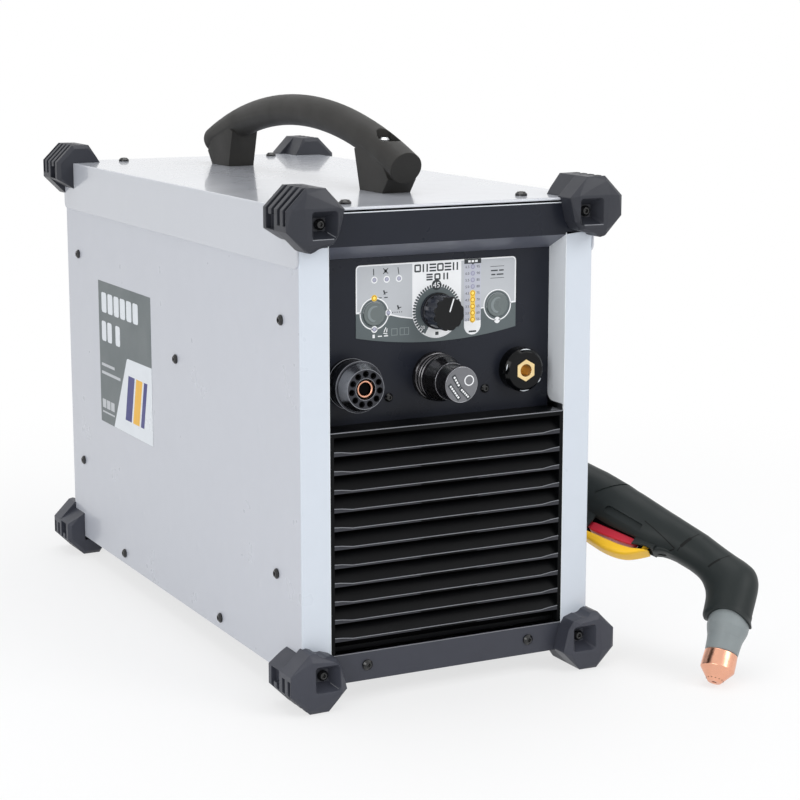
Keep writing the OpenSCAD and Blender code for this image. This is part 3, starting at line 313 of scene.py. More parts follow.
def carve(name, bm, cutters):
    """The mesh less each cutter in turn. The cutters are used up."""
    ob = plain_object(name, bm)
    for cutter in cutters:
        m = ob.modifiers.new("cut", "BOOLEAN")
        m.operation = "DIFFERENCE"
        m.solver = "EXACT"
        m.use_self = True
        m.object = cutter
        dg = bpy.context.evaluated_depsgraph_get()
        me = bpy.data.meshes.new_from_object(ob.evaluated_get(dg))
        ob.modifiers.remove(m)
        old = ob.data
        ob.data = me
        bpy.data.meshes.remove(old)
        remove(cutter)
    bm = bmesh.new()
    bm.from_mesh(ob.data)
    remove(ob)
    return bm


def dissolve(bm, angle):
    bmesh.ops.dissolve_limit(bm, angle_limit=radians(angle), verts=bm.verts, edges=bm.edges)


def bevel_edges(bm, width, segments, profile, sharp, pick=None):
    """Rounds the edges that are sharper than an angle, or those of them that pick takes."""
    edges = [e for e in bm.edges if len(e.link_faces) == 2 and e.calc_face_angle(0) > radians(sharp)
             and (pick is None or pick(e))]
    if edges and width:
        bmesh.ops.bevel(bm, geom=edges, offset=width, offset_type="OFFSET", segments=segments,
                        profile=profile, affect="EDGES", clamp_overlap=True)


FLAT_ANGLE, SHARP_ANGLE = 1.0, 28


def cad_copy(node, bevel=0.0006, segments=2, pick=None, cuts=()):
    """The CAD node's own shape, with its edges rounded."""
    bm = bmesh.new()
    bm.from_mesh(NODES[node].data)
    bmesh.ops.remove_doubles(bm, verts=bm.verts, dist=2e-6)
    if cuts:
        bm = carve("raw_" + node, bm, cuts)
    dissolve(bm, FLAT_ANGLE)
    bevel_edges(bm, bevel, segments, 0.5, SHARP_ANGLE, pick)
    return to_object(node + "_part", bm, BODY[node], SLOT[node], (node,))


def turn(bm, profile, place, steps=96):
    """Turns a profile of (radius, height) in millimetres; place maps (u, v, w) to the row frame."""
    rings = []
    for r, h in profile:
        if r < 1e-6:
            rings.append([bm.verts.new(place(0, 0, h))])
        else:
            rings.append([bm.verts.new(place(r * c, r * s, h)) for c, s in circle(steps)])
    for a, b in zip(rings, rings[1:]):
        for i in range(steps):
            j = (i + 1) % steps
            corners = (a[i % len(a)], a[j % len(a)], b[j % len(b)], b[i % len(b)])
            bm.faces.new(list(dict.fromkeys(corners)))


def lathe(name, profile, place, body, slot, replace=(), steps=96, angle=32, finish=None):
    bm = bmesh.new()
    turn(bm, profile, place, steps)
    to_object(name, bm, body, slot, replace, angle, finish)


def turned_rings(name, sections, place, body, slot, replace=(), angle=32, finish=None):
    """Rings turned from closed sections, all in one piece."""
    bm = bmesh.new()
    for section in sections:
        turn(bm, section + section[:1], place)
    bmesh.ops.remove_doubles(bm, verts=bm.verts, dist=1e-7)
    to_object(name, bm, body, slot, replace, angle, finish)


def fillet(points, radius, n=4):
    """Rounds the inner corners of an open profile."""
    out = [points[0]]
    for a, b, c in zip(points, points[1:], points[2:]):
        r = b[2] if len(b) > 2 else radius
        va, vc = Vector((a[0] - b[0], a[1] - b[1])), Vector((c[0] - b[0], c[1] - b[1]))
        if r <= 0 or min(va.length, vc.length) < 1e-6 or va.angle(vc) > pi - 0.02:
            out.append(b[:2])
            continue
        t = min(r / tan(va.angle(vc) / 2), va.length * 0.49, vc.length * 0.49)
        p0, p2 = Vector(b[:2]) + va.normalized() * t, Vector(b[:2]) + vc.normalized() * t
        for i in range(n + 1):
            k = i / n
            q = p0 * (1 - k) ** 2 + Vector(b[:2]) * 2 * k * (1 - k) + p2 * k * k
            out.append((q.x, q.y))
    out.append(points[-1][:2])
    return out


def front(x, z, y=26.0):
    """Local (u, v, w): u right, v up, w out of the panel towards -Y."""
    return lambda u, v, w: W(x + u, y - w, z + v)


def slab(bm, loops, place, low, high):
    """A thin closed plate: the first loop is its outline and the others are holes."""
    rows = [[(bm.verts.new(place(x, y, high)), bm.verts.new(place(x, y, low))) for x, y in loop]
            for loop in loops]
    pairs = [p for row in rows for p in row]
    for t in tessellate_polygon([[Vector((x, y, 0)) for x, y in loop] for loop in loops]):
        bm.faces.new([pairs[i][0] for i in t])
        bm.faces.new([pairs[i][1] for i in reversed(t)])
    for row in rows:
        for a, b in zip(row, row[1:] + row[:1]):
            bm.faces.new((a[0], a[1], b[1], b[0]))


def film(name, shapes, place, low, high, finish, slot, body="casing", words=()):
    """Printed shapes of one colour, from low to high above their surface; words are digits."""
    bm = bmesh.new()
    for loops in shapes:
        slab(bm, loops, place, low, high)
    for text, x, y, size in words:
        glyph(bm, text, x, y, size, place, low, high)
    to_object(name, bm, body, slot, finish=finish, weighted=False)


def ring_pts(x, y, r, n=64, a0=0.0, a1=360.0):
    """Points of a circle, or of an arc from a0 to a1 degrees."""
    full = abs(a1 - a0 - 360) < 1e-6
    return [on_ring(x, y, r, a0 + (a1 - a0) * i / n) for i in range(n if full else n + 1)]


def rect(x0, y0, x1, y1):
    return [(x0, y0), (x1, y0), (x1, y1), (x0, y1)]


def stroke(x0, y0, x1, y1, width):
    """A straight printed line, as one loop."""
    d = Vector((x1 - x0, y1 - y0)).normalized() * width / 2
    return [(x0 - d.y, y0 + d.x), (x0 + d.y, y0 - d.x), (x1 + d.y, y1 - d.x), (x1 - d.y, y1 + d.x)]


def rounded(points, radius=0, n=5):
    """A closed outline with its corners rounded; a corner may give its own radius."""
    out = []
    count = len(points)
    for i, b in enumerate(points):
        a, c = points[i - 1], points[(i + 1) % count]
        r = b[2] if len(b) > 2 else radius
        out += fillet([a, (b[0], b[1], r), c], radius, n)[1:-1]
    return out


def glyph(bm, text, x, y, size, place, low, high):
    """Digits only, from the built-in font, as closed plates centred on (x, y)."""
    cu = bpy.data.curves.new("digits", "FONT")
    cu.body = text
    cu.size = size
    cu.align_x = "CENTER"
    cu.extrude = (high - low) / 2
    cu.resolution_u = 2
    ob = bpy.data.objects.new("digits", cu)
    me = ob.to_mesh()
    ys = [v.co.y for v in me.vertices]
    mid = (min(ys) + max(ys)) / 2
    vs = [bm.verts.new(place(x + v.co.x, y + v.co.y - mid, v.co.z + (low + high) / 2)) for v in me.vertices]
    for p in me.polygons:
        bm.faces.new([vs[i] for i in p.vertices])
    bmesh.ops.remove_doubles(bm, verts=vs, dist=1e-7)
    ob.to_mesh_clear()
    bpy.data.objects.remove(ob)
    bpy.data.curves.remove(cu)


def skin(bm, rings, closed=True):
    """Joins rings of points; a closed skin is a tube with both ends capped."""
    rows = [[bm.verts.new(p) for p in r] for r in rings]
    n = len(rows[0])
    for a, b in zip(rows, rows[1:]):
        for i in range(n if closed else n - 1):
            j = (i + 1) % n
            bm.faces.new((a[i], a[j], b[j], b[i]))
    if closed:
        bm.faces.new(rows[0])
        bm.faces.new(rows[-1])


def cord_line(bm, path, across, up, r_across, r_up):
    """A rounded bead along a path of W points; across and up are its two section directions."""
    skin(bm, [[p + across * (r_across * c / 1000) + up * (r_up * s / 1000) for c, s in circle(8)]
              for p in path])


def knife(rings):
    """A cutter for carve."""
    bm = bmesh.new()
    skin(bm, rings)
    return plain_object("knife", bm)


# ---- casing
for n, o in NODES.items():
    o.data.materials.clear()
    o.data.materials.append(LOOK[SLOT[n]])
    o.data.shade_smooth()


def paint_faces(ob, finish, test):
    """Gives the faces that pass the test a second material."""
    ob.data.materials.append(LOOK[finish])
    for f in ob.data.polygons:
        if test(f):
            f.material_index = len(ob.data.materials) - 1


FRONT_Y = W(0, 0, 0).y
MID_X = MX / 1000
INNER_X = (PILLAR_IN + 0.5) / 1000


# masks for the pillar faces that get painted light
def pillar_face(f):
    inside = abs(f.center.x - MID_X) < INNER_X
    return f.center.y < FRONT_Y + 0.0262 and (f.normal.y < -0.5 or inside)


def pillar_inside(f):
    return abs(f.center.x - MID_X) < INNER_X and abs(f.normal.x) > 0.6


def lid_rim(e):
    """The lid's two long upper edges and its front one."""
    top = all(v.co.z > 0.3985 for v in e.verts)
    long = abs(e.verts[0].co.y - e.verts[1].co.y) > 0.3
    return top and (long or all(v.co.y < FRONT_Y + 0.0001 for v in e.verts))


for n, s in (("side_left", -1), ("side_right", 1)):
    outer = W(s * HALF_W, 0, 0).x

    def corner(e, x=outer):
        upright = abs(e.verts[0].co.z - e.verts[1].co.z) > 0.05
        return upright and all(abs(v.co.x - x) < 1e-5 for v in e.verts)

    ob = cad_copy(n, 0.0022, 4, corner)
    # painted light: the pillar's front faces paler than the side, its inner returns paler still
    paint_faces(ob, "pillar_front_painted_light", pillar_face)
    paint_faces(ob, "pillar_return_painted_light", pillar_inside)
cad_copy("lid", 0.0013, 4, lid_rim)
band = cad_copy("front_band", 0.0005)
for v in band.data.vertices:
    if v.co.z < 0.3712 and v.co.y < FRONT_Y + 0.0008 and abs(v.co.x - MID_X) < 0.1072:
        v.co.z -= 0.002
# painted light: the band's downward bevel is painted paler than the band
paint_faces(band, "band_bevel_painted_light", lambda f: f.normal.z < -0.6 and f.normal.y < -0.2)
for node, bevel in (("front_bar", 0.0006), ("control_panel", 0.0003), ("rear_panel", 0.0004),
                    ("base_pan", 0.0006), ("louvre_block", 0)):
    cad_copy(node, bevel)


def pocket_knife(rear):
    """A cutter for the oval pocket of a handle screw, with a floor that follows the grip's slope."""
    rings = []
    for r, top in ((8.6, False), (9.4, True)):
        ring = []
        for c, s in circle(40):
            y = 109 + (r + 5) * s
            z = 480 if top else 439.9 - 0.33 * (117.5 - y)
            ring.append(W(r * c, DEPTH - y if rear else y, z))
        rings.append(ring)
    return knife(rings)


cad_copy("carry_handle", 0.0008, cuts=(pocket_knife(False), pocket_knife(True)))

# painted highlights: pale beads along the folded sheets' edges, where they catch the light
LEDGE_Z, LIP_TOP, LIP_STEP, LIP_N = 221.8, 204.7, 15.2, 11
LIP_HALF, LIP_RISE, LIP_TAPER = 103.6, 1.8, 16.0
BAR_TOP, BAND_TOP = 39.8, 394.8
OUT, UP = Vector((0, -1, 0)), Vector((0, 0, 1))


def lip_path(z, lower=0.0):
    """The front edge of a louvre: straight, with a rise at each end."""
    xs = ((-LIP_HALF, LIP_RISE), (-LIP_HALF + 0.4 * LIP_TAPER, 0.75 * LIP_RISE), (-LIP_HALF + LIP_TAPER, 0),
          (LIP_HALF - LIP_TAPER, 0), (LIP_HALF - 0.4 * LIP_TAPER, 0.75 * LIP_RISE), (LIP_HALF, LIP_RISE))
    return [W(x, 0.1, z + rise - lower) for x, rise in xs]


bm = bmesh.new()
for i in range(LIP_N):
    cord_line(bm, lip_path(LIP_TOP - i * LIP_STEP, 0.4), OUT, UP, 0.5, 0.42)
cord_line(bm, [W(x, 0.1, LEDGE_Z - 0.4) for x in (-PILLAR_IN, 0, PILLAR_IN)], OUT, UP, 0.5, 0.45)
cord_line(bm, [W(x, 0.1, BAR_TOP - 0.35) for x in (-PILLAR_IN, 0, PILLAR_IN)], OUT, UP, 0.5, 0.4)
to_object("painted_highlight_beads", bm, "casing", "louvre_black", angle=60, finish="painted_highlight")

# the louvres' front lips in a grey paler than their black, as painted light
bm = bmesh.new()
for i in range(LIP_N):
    z = LIP_TOP - i * LIP_STEP
    lip = ((LIP_HALF, z + 0.9), (LIP_HALF, z - 2.0), (26, z - 2.0), (26, z - 1.4),
           (LIP_HALF - LIP_TAPER, z - 0.9))
    for s in (-1, 1):
        slab(bm, [[(s * x, h) for x, h in lip]], front(0, 0, 0), 0.0, 0.06)
to_object("lip_faces", bm, "casing", "louvre_black", finish="lip_painted_light", weighted=False)

# painted highlights: pale beads along the band's top edge and the pillars' inner edges
bm = bmesh.new()
cord_line(bm, [W(x, 0.2, BAND_TOP - 0.5) for x in (-HALF_W + 1.6, 0, HALF_W - 1.6)], OUT, UP, 0.55, 0.5)
for s in (-1, 1):
    path = [W(s * (PILLAR_IN + 0.35), 0.12, z) for z in (20.5, 200, 369.5)]
    cord_line(bm, path, OUT, Vector((1, 0, 0)), 0.45, 0.5)
to_object("painted_edge_highlights", bm, "casing", "casing_grey", angle=60, finish="pale_print_and_highlight")
# a painted patch of light on the ledge's right end
film("ledge_end", [[[(96.5, 3.2), (106.6, 0.6), (106.6, 16.5)]]],
     lambda u, v, w: W(u, v, LEDGE_Z + w), -0.05, 0.06, "painted_highlight", "louvre_black")


# painted shade behind the louvres: a pleated black sheet, closed all round
SHADE_SHEET_LOW, SHADE_SHEET_HIGH, PLEAT = 40.4, 220.0, 1.9
bm = bmesh.new()
n = int((SHADE_SHEET_HIGH - SHADE_SHEET_LOW) / PLEAT * 2)
path = [(SHADE_SHEET_LOW + (SHADE_SHEET_HIGH - SHADE_SHEET_LOW) * i / n, 10.2 + (0.4 if i % 2 else -0.4))
        for i in range(n + 1)]
outline = [(y, z) for z, y in path] + [(y + 0.3, z) for z, y in reversed(path)]
skin(bm, [[W(x, y, z) for y, z in outline] for x in (-PILLAR_IN + 1, PILLAR_IN - 1)])
to_object("louvre_shade_sheet", bm, "casing", "louvre_black", finish="painted_shade_black", weighted=False)

# ---- corner bumpers
# Drawn for the front left top corner, in millimetres: x inwards, y to the rear, z up, with
# the casing's corner as the origin.
BUMPER_FACE = [(-4.0, 2.2), (25.6, 2.2), (23.4, -19.5), (18.8, -24.2), (-0.5, -26.0)]
BUMPER_RIDGE = [(-13.6, 1.1), (-1.1, 13.6), (21.9, 8.7), (-8.7, -21.9), (-1.0, -30.4)]
BUMPER_RIM = [(-17.4, 1.0), (-1.0, 17.4), (15.6, 17.2), (31.8, 0.4), (27.0, -18.8), (22.4, -26.0),
              (13.0, -29.0), (2.8, -32.4), (-1.2, -31.6), (-17.4, -15.4)]
FACE_Y, RIDGE_Y, RIM_Y, TAIL_Y, END_Y, TAIL_IN = -20.45, -18.4, -15.9, 27.4, 30.4, 3.4
GROOVES = [(-14.8, -9.9, -11), (-4.4, 0.8, -11), (6.6, 11.6, -4), (17.4, 22.2, -4)]
WINDOW = (6.6, 22.2)
GROOVE_DEEP, GROOVE_REACH = 5.0, 8.0
PIT = (13.3, -11.0)
BUMPER_MID, BUMPER_OUT, BOTTOM_Z = (7.5, -7.5), 17.5, 17.5


def bar_knife(outline, y0, y1):
    return knife([[Vector((x, y, z)) for x, z in outline] for y in (y0, y1)])


def bumper_mesh(side_gap, floor_gap):
    """Points and faces of a bumper; the gaps keep it clear of the side sheet and the lid."""
    pts = [(x, FACE_Y, z) for x, z in BUMPER_FACE] + [(x, RIDGE_Y, z) for x, z in BUMPER_RIDGE]
    pts += [(x, y, z) for x, z in BUMPER_RIM for y in (RIM_Y, TAIL_Y)]
    mx, mz = BUMPER_MID
    shrink = 1 - TAIL_IN / 25
    pts += [(mx + (x - mx) * shrink, END_Y, mz + (z - mz) * shrink) for x, z in BUMPER_RIM]
    bm = bmesh.new()
    for p in pts:
        bm.verts.new(Vector(p))
    bmesh.ops.convex_hull(bm, input=bm.verts)
    dissolve(bm, 1.2)
    up = BUMPER_OUT - GROOVE_DEEP
    left = -up
    cuts = []
    for y0, y1, down in GROOVES:
        cuts.append(bar_knife([(-40, down), (left, down), (left, -1.07), (1.07, up),
                               (GROOVE_REACH, up), (GROOVE_REACH, 40), (-40, 40)], y0, y1))
    far = 80
    for outline, y0, y1 in (
            ([(-40, -15), (left, -15), (left, -3.5), (-40, -3.5)], *WINDOW),
            ([(-19, -14.6), (0.5, -26.3), (0.5, -60), (-19, -60)], 3, far),
            ([(14.6, 19), (26.3, -0.5), (60, -0.5), (60, 19)], 3, far),
            ([(-side_gap, floor_gap), (far, floor_gap), (far, -far), (-side_gap, -far)], 0, far),
            (ring_pts(12.4, -36.4, 8.2, 32), -40, 3)):
        cuts.append(bar_knife(outline, y0, y1))
    rings = []
    for y, half, r in ((-24, 12.6, 3.4), (-8.5, 5.4, 1.6), (-8.2, 5.2, 1.5)):
        square = rounded(rect(PIT[0] - half, PIT[1] - half, PIT[0] + half, PIT[1] + half), r, 4)
        rings.append([Vector((x, y, z)) for x, z in square])
    cuts.append(knife(rings))
    bm = carve("bumper_hull", bm, cuts)
    bmesh.ops.remove_doubles(bm, verts=bm.verts, dist=0.01)
    dissolve(bm, 1.5)
    bevel_edges(bm, 0.75, 2, 0.55, 22)
    found = [v.co.copy() for v in bm.verts], [[v.index for v in f.verts] for f in bm.faces]
    bm.free()
    return found


LEVELS = (("top", bumper_mesh(SHEET, 0.0), "bumper_black"), ("bottom", bumper_mesh(0.0, 1.9), "bumper_low_painted_light"))
for side_name, sx in (("left", -1), ("right", 1)):
    for end_name in ("front", "rear"):
        for level, (verts, faces), finish in LEVELS:
            bm = bmesh.new()
            vs = []
            for v in verts:
                y = v.y if end_name == "front" else DEPTH - v.y
                z = LID_TOP + v.z if level == "top" else BOTTOM_Z - v.z
                vs.append(bm.verts.new(W(sx * (HALF_W - v.x), y, z)))
            for f in faces:
                bm.faces.new([vs[i] for i in f])
            n = f"bumper_{end_name}_{side_name}_{level}"
            to_object("moulded_" + n, bm, "casing", "bumper_black", (n,), angle=9, finish=finish)

# painted highlights along the lower edge and corner of each upper screw pit, and along the corner of each
# lower one
bm = bmesh.new()
for sx in (-1, 1):
    for ends in (((2.6, -20.2, -21.7), (20.6, -19.9, -21.6)), ((22.6, -18.9, -20.4), (19.0, -12.0, -17.2))):
        path = [W(sx * (HALF_W - x), y, LID_TOP + z) for x, y, z in ends]
        cord_line(bm, path, OUT, UP, 0.45, 0.45)
for sx in (-1, 1):
    path = [W(sx * (HALF_W - x), y, BOTTOM_Z - z) for x, y, z in ((22.6, -18.9, -1.6), (19.0, -12.0, -4.8))]
    cord_line(bm, path, OUT, UP, 0.4, 0.4)
to_object("pit_edges", bm, "casing", "bumper_black", angle=60, finish="painted_highlight")

# ---- control label
LABEL = front(0, 0, PANEL_Y)
LAYER = [LABEL_T + 0.03 * i for i in range(8)]
KNOB_X, DIAL_Z, DIAL_R = 1.1, 308.9, 21.8
MODE_X, SET_X, BUTTON_Z, BUTTON_R, RING_R = -55.4, 57.4, 310.0, 9.75, 12.5
LED_X, LED_TOP, LED_STEP, LED_N, LED_LIT = 34.2, 342.8, 5.43, 9, 5
ROW_X, ROW_Z = (-55.3, -44.3, -33.3), 337.1
LABEL_LEFT, LABEL_RIGHT, LABEL_TOP = -71.7, 74.9, 349.4
COLUMN = [(LED_X, LED_TOP - i * LED_STEP) for i in range(LED_N)]
MODE_LAMPS = [on_ring(MODE_X, BUTTON_Z, 12.6, a) for a in (90, 0, -90)]
SET_LAMP = (SET_X, BUTTON_Z - 12.6)
ROW = [(x, ROW_Z) for x in ROW_X]
LIT = COLUMN[LED_N - LED_LIT:] + MODE_LAMPS[:1]
UNLIT = COLUMN[:LED_N - LED_LIT] + MODE_LAMPS[1:] + [SET_LAMP] + ROW


def ring(x, z, r_out, r_in, n=48):
    return [ring_pts(x, z, r_out, n), ring_pts(x, z, r_in, n)]


def disc(x, z, r, n=40):
    return [ring_pts(x, z, r, n)]


def arc_band(x, z, r_out, r_in, n, a0, a1):
    return [ring_pts(x, z, r_out, n, a0, a1) + ring_pts(x, z, r_in, n, a0, a1)[::-1]]


def strokes(*rows):
    """Straight lines: each row is x0, z0, x1, z1, width."""
    return [[stroke(*row)] for row in rows]


def printed(name, shapes, low, high, ink, words=()):
    """A print on the label, from one of its layers to another."""
    film(name, shapes, LABEL, LAYER[low], LAYER[high], "ink_" + ink, "label_print", words=words)


swoop = [(-20.0, 303.4), (-31.9, 305.4), (-43.5, 308.4)]
upper = rounded([(LABEL_LEFT, 311), (LABEL_LEFT, LABEL_TOP, 4), (LABEL_RIGHT, LABEL_TOP, 4),
                 (LABEL_RIGHT, 311.4), (45.3, 308.0), (26, 306.5), (0, 303)]
                + swoop + [(-60, 311)], n=6)
film("print_white", [[upper]], LABEL, 0.55, LAYER[1], "ink_white", "label_print")
left_field = rounded([(-70.6, 312.2), (-70.6, 348.3, 3), (-21.3, 348.3), (-21.3, 304.8),
                      (-31.9, 306.6), (-43.5, 309.5), (-60, 312.2)], n=6)
right_field = rounded([(23.6, 306.5), (23.6, 348.3), (73.8, 348.3, 3), (73.8, 312.5),
                       (45.3, 309.1)], n=6)
printed("print_pale", [[left_field], [right_field]], 0, 2, "pale")
PILL_L, PILL_R = LED_X - 7.9, LED_X + 7.7
pill_end = [on_ring(LED_X - 0.1, 294.7, 7.8, a) for a in range(0, -181, -12)]
printed("pill_end", [[[(PILL_R, 301)] + pill_end + [(PILL_L, 301)]]], 0, 3, "white")
printed("pill_scale", [[[(PILL_R, 348.3), (PILL_R, 298.4), (LED_X + 2.6, 298.4), (LED_X, 296.0),
                         (LED_X - 2.6, 298.4), (PILL_L, 298.4), (PILL_L, 348.3)]]], 0, 4, "mist")
discs = [ring(x, BUTTON_Z, RING_R - 0.5, BUTTON_R + 0.35, 72) for x in (MODE_X, SET_X)]
discs.append([ring_pts(KNOB_X, DIAL_Z, DIAL_R - 0.6, 96), ring_pts(KNOB_X, DIAL_Z, 4.3, 48)])
printed("print_slate", discs, 0, 4, "slate")


def ring_with_gaps(x, z, lamps):
    """White ring round a button, with a hole for each lamp that stands on it."""
    shapes = []
    gap_half = degrees(1.6 / RING_R)
    angles = sorted(degrees(atan2(q - z, p - x)) % 360 for p, q in lamps)
    for a, b in zip(angles, angles[1:] + [angles[0] + 360]):
        a0, a1 = a + gap_half, b - gap_half
        n = max(6, int((a1 - a0) / 6))
        shapes.append(arc_band(x, z, RING_R + 0.5, RING_R - 0.5, n, a0, a1))
    return shapes


def tick(r_out, r_in, a, width):
    return [stroke(*on_ring(KNOB_X, DIAL_Z, r_out, a), *on_ring(KNOB_X, DIAL_Z, r_in, a), width)]


white_marks = ring_with_gaps(MODE_X, BUTTON_Z, MODE_LAMPS) + ring_with_gaps(SET_X, BUTTON_Z, [SET_LAMP])
white_marks += [ring(KNOB_X, DIAL_Z, DIAL_R + 0.5, DIAL_R - 0.6, 96)]
white_marks += [ring(x, z, 2.8, 1.7, 32) for x, z in ROW + MODE_LAMPS[1:]] + [disc(*SET_LAMP, 2.7)]
white_marks += strokes((-71.6, 311.2, -67.6, 311.2, 1.0), (69.6, 311.2, 74.8, 311.6, 1.0))
TICKS, TICK_SWEEP = 42, 276
teeth = []
for i in range(TICKS + 1):
    a = 90 + TICK_SWEEP / 2 - TICK_SWEEP * i / TICKS
    if abs(a - 90) < 10:
        continue
    white_marks.append(tick(DIAL_R - 0.7, DIAL_R - 2.3, a, 0.7))
    teeth.append(tick(DIAL_R + 0.3, DIAL_R - 1.5, a + TICK_SWEEP / TICKS / 2, 1.1))
white_marks += strokes((-52.2, 291.5, -48.6, 291.5, 0.9), (-46.8, 291.5, -43.2, 291.5, 0.9))
white_marks += [[rect(-57.0, 290.4, -55.0, 293.2)]]
white_marks += strokes((-47.4, 293.8, -43.8, 293.0, 0.7), (-46.8, 294.6, -45.0, 298.4, 0.7),
                       (-44.4, 294.2, -44.0, 297.4, 0.7))
white_marks.append(arc_band(KNOB_X, DIAL_Z, DIAL_R - 0.5, 14.6, 24, 240, 304))
printed("print_marks", white_marks, 0, 5, "white", [("20", -11.6, 296.0, 4.0), ("60", 13.8, 296.0, 4.0)])
printed("dial_teeth", teeth, 1, 6, "dark")


# plain blocks and strokes stand where words and symbols would be
def sign(x0, z0, x1, z1, kind, t=1.3):
    """A plain sign of the size of a letter: a frame, three level bars or two upright bars."""
    if kind == "frame":
        inner = rect(x0 + t, z0 + t, x1 - t, z1 - t)
        return [[rounded(rect(x0, z0, x1, z1), 1.2, 3), inner]]
    if kind == "level":
        step = (z1 - z0 - t) / 2
        return [[rect(x0, z0 + i * step, x1, z0 + i * step + t)] for i in range(3)]
    return [[rect(x, z0, x + t, z1)] for x in (x0 + 0.6, x1 - t - 0.6)]


dark_marks = []
for i, kind in enumerate(("frame", "upright", "level", "frame", "level", "upright")):
    dark_marks += sign(-19.4 + 6.9 * i, 341.0, -13.4 + 6.9 * i, 347.4, kind)
for x, kind in ((-8.4, "level"), (-1.2, "frame"), (6.4, "upright")):
    dark_marks += sign(x, 333.9, x + 5.6, 339.3, kind)
dark_marks += strokes(*[(50.7, z, 63.6, z, 0.4) for z in (341.9, 332.3)])
for z, spans in ((338.5, ((51.2, 57.6), (58.8, 63.2))), (335.2, ((51.6, 55.4), (56.6, 63.0)))):
    dark_marks += [[rect(a, z - 0.55, b, z + 0.55)] for a, b in spans]
dark_marks += strokes((-55.9, 340.9, -55.9, 346.2, 0.8), (-47.4, 341.6, -43.0, 346.0, 0.7),
                      (-47.4, 346.0, -43.0, 341.6, 0.7), (-34.2, 346.2, -33.4, 340.8, 0.7))
dark_marks += [[rect(-46.4, 342.6, -44.0, 345.0)]]
for x, z in ((-46.6, 325.4), (-34.2, 312.6)):
    # a small tilted nozzle: a block, a neck and a foot line
    dark_marks += strokes((x - 0.4, z + 3.0, x + 0.6, z, 1.3), (x + 0.6, z + 0.9, x + 3.0, z + 1.3, 0.7),
                          (x - 0.6, z - 0.2, x + 1.4, z - 0.2, 0.5))
dark_marks += strokes((-51.6, 322.5, -48.8, 322.5, 0.8), (-46.6, 322.5, -43.4, 322.5, 0.8))
dark_marks += [[rect(x - 0.4, 309.6, x + 0.4, 310.4)] for x in (-38.9, -36.9, -34.9, -32.9, -30.9)]
printed("print_dark", dark_marks, 1, 3, "dark")
scale_words = []
for i, (x, z) in enumerate(COLUMN):
    scale_words += [(f"{6.5 - 0.5 * i:.1f}", x - 5.0, z, 3.1), (f"{95 - 5 * i}", x + 5.1, z, 3.1)]
printed("scale_marks", strokes((LED_X - 3.4, 289.6, LED_X + 3.4, 289.6, 1.4)), 2, 5, "dark", scale_words)
tag = [(PILL_L, 349.3), (PILL_L, 345.4), (LED_X - 1.4, 345.4), (LED_X, 344.6), (LED_X + 1.4, 345.4),
       (PILL_R, 345.4), (PILL_R, 349.3)]
foot = [rect(KNOB_X - 1.4, 288.9, KNOB_X + 1.6, 291.6)]
printed("print_tag", [[tag], disc(KNOB_X - 0.3, 329.9, 4.3), foot], 1, 6, "dark")
printed("tag_marks", [[rect(x - 1.2, 346.4, x + 1.2, 348.2)] for x in (LED_X - 3.2, LED_X, LED_X + 3.2)],
        1, 7, "white", [("45", KNOB_X - 0.3, 329.9, 6.6)])
frames = []
for x0, z0, x1, z1 in ((-40.2, 291.2, -34.6, 297.0), (-32.6, 291.0, -24.2, 297.2)):
    frames.append([rect(x0, z0, x1, z1), rect(x0 + 0.6, z0 + 0.6, x1 - 0.6, z1 - 0.6)])
printed("print_soft", frames + strokes((-28.4, 291.2, -28.4, 297.0, 0.6)), 0, 2, "soft")
# painted light: a glow round each lit lamp and a strip of it between them
film("lamp_glow", [disc(x, z, 2.6) for x, z in LIT], LABEL, LAYER[0], LAYER[5] + 0.01, "ink_glow",
     "label_print")
printed("lamp_strip", [[rect(LED_X - 2.1, COLUMN[-1][1], LED_X + 2.1, LIT[0][1])]], 0, 5, "glow")
printed("lamp_rings", [ring(x, z, 1.95, 1.45, 32) for x, z in LIT], 0, 6, "amber")
printed("lamp_spots", [disc(x, z, 2.1) for x, z in UNLIT if x == LED_X], 0, 5, "lavender")
printed("lamp_lines", [ring(x, z, 1.75, 1.42, 32) for x, z in UNLIT if (x, z) != SET_LAMP], 0, 7, "mauve")


def lamps(name, places, finish):
    """Round lenses with domed fronts."""
    bm = bmesh.new()
    for x, z in places:
        turn(bm, [(0, -6.0), (1.4, -6.0), (1.4, 0.7), (1.3, 0.85), (1.0, 0.96), (0.5, 1.0), (0, 1.0)],
             front(x, z, PANEL_Y), 20)
    to_object(name, bm, "casing", "lens_amber", ("led_lenses",), angle=50, finish=finish)


lamps("lamps_lit", LIT, "lens_amber")
lamps("lamps_off", UNLIT[:-4], "lens_clear")
lamps("lamps_ringed", ROW, "lens_clear")
lamps("lamp_set", [SET_LAMP], "ink_white")


def push_button(name, x):
    """A film-covered button: a rim, a shallow valley and a raised dome."""
    r, top = BUTTON_R, LABEL_T + 1.2
    profile = [(0, -3.5), (r + 0.9, -3.5), (r + 0.9, -2.3), (r, -2.3), (r, top - 0.5), (r - 0.2, top - 0.2),
               (r - 0.7, top), (r - 1.6, top), (r - 2.2, top - 0.25), (r - 2.8, top - 0.25),
               (r - 3.8, top - 0.05), (r - 6, top), (0, top)]
    lathe(name + "_face", profile, front(x, BUTTON_Z, PANEL_Y), name, "button_grey", (name,), 72, 60)
    # a painted highlight: a paler crescent on the dome
    crescent = ring_pts(x, BUTTON_Z, 6.6, 30, 75, 265) + ring_pts(x + 1.3, BUTTON_Z, 5.4, 30, 75, 265)[::-1]
    film(name + "_shine", [[crescent]], LABEL, top - 0.05, top + 0.04, "ink_soft", "button_grey", name)


push_button("mode_button", MODE_X)
push_button("set_button", SET_X)

# ---- knob and connectors
KNOB_H, KNOB_TURN = 21.4, -19.0
knob = cad_copy("current_knob", 0)
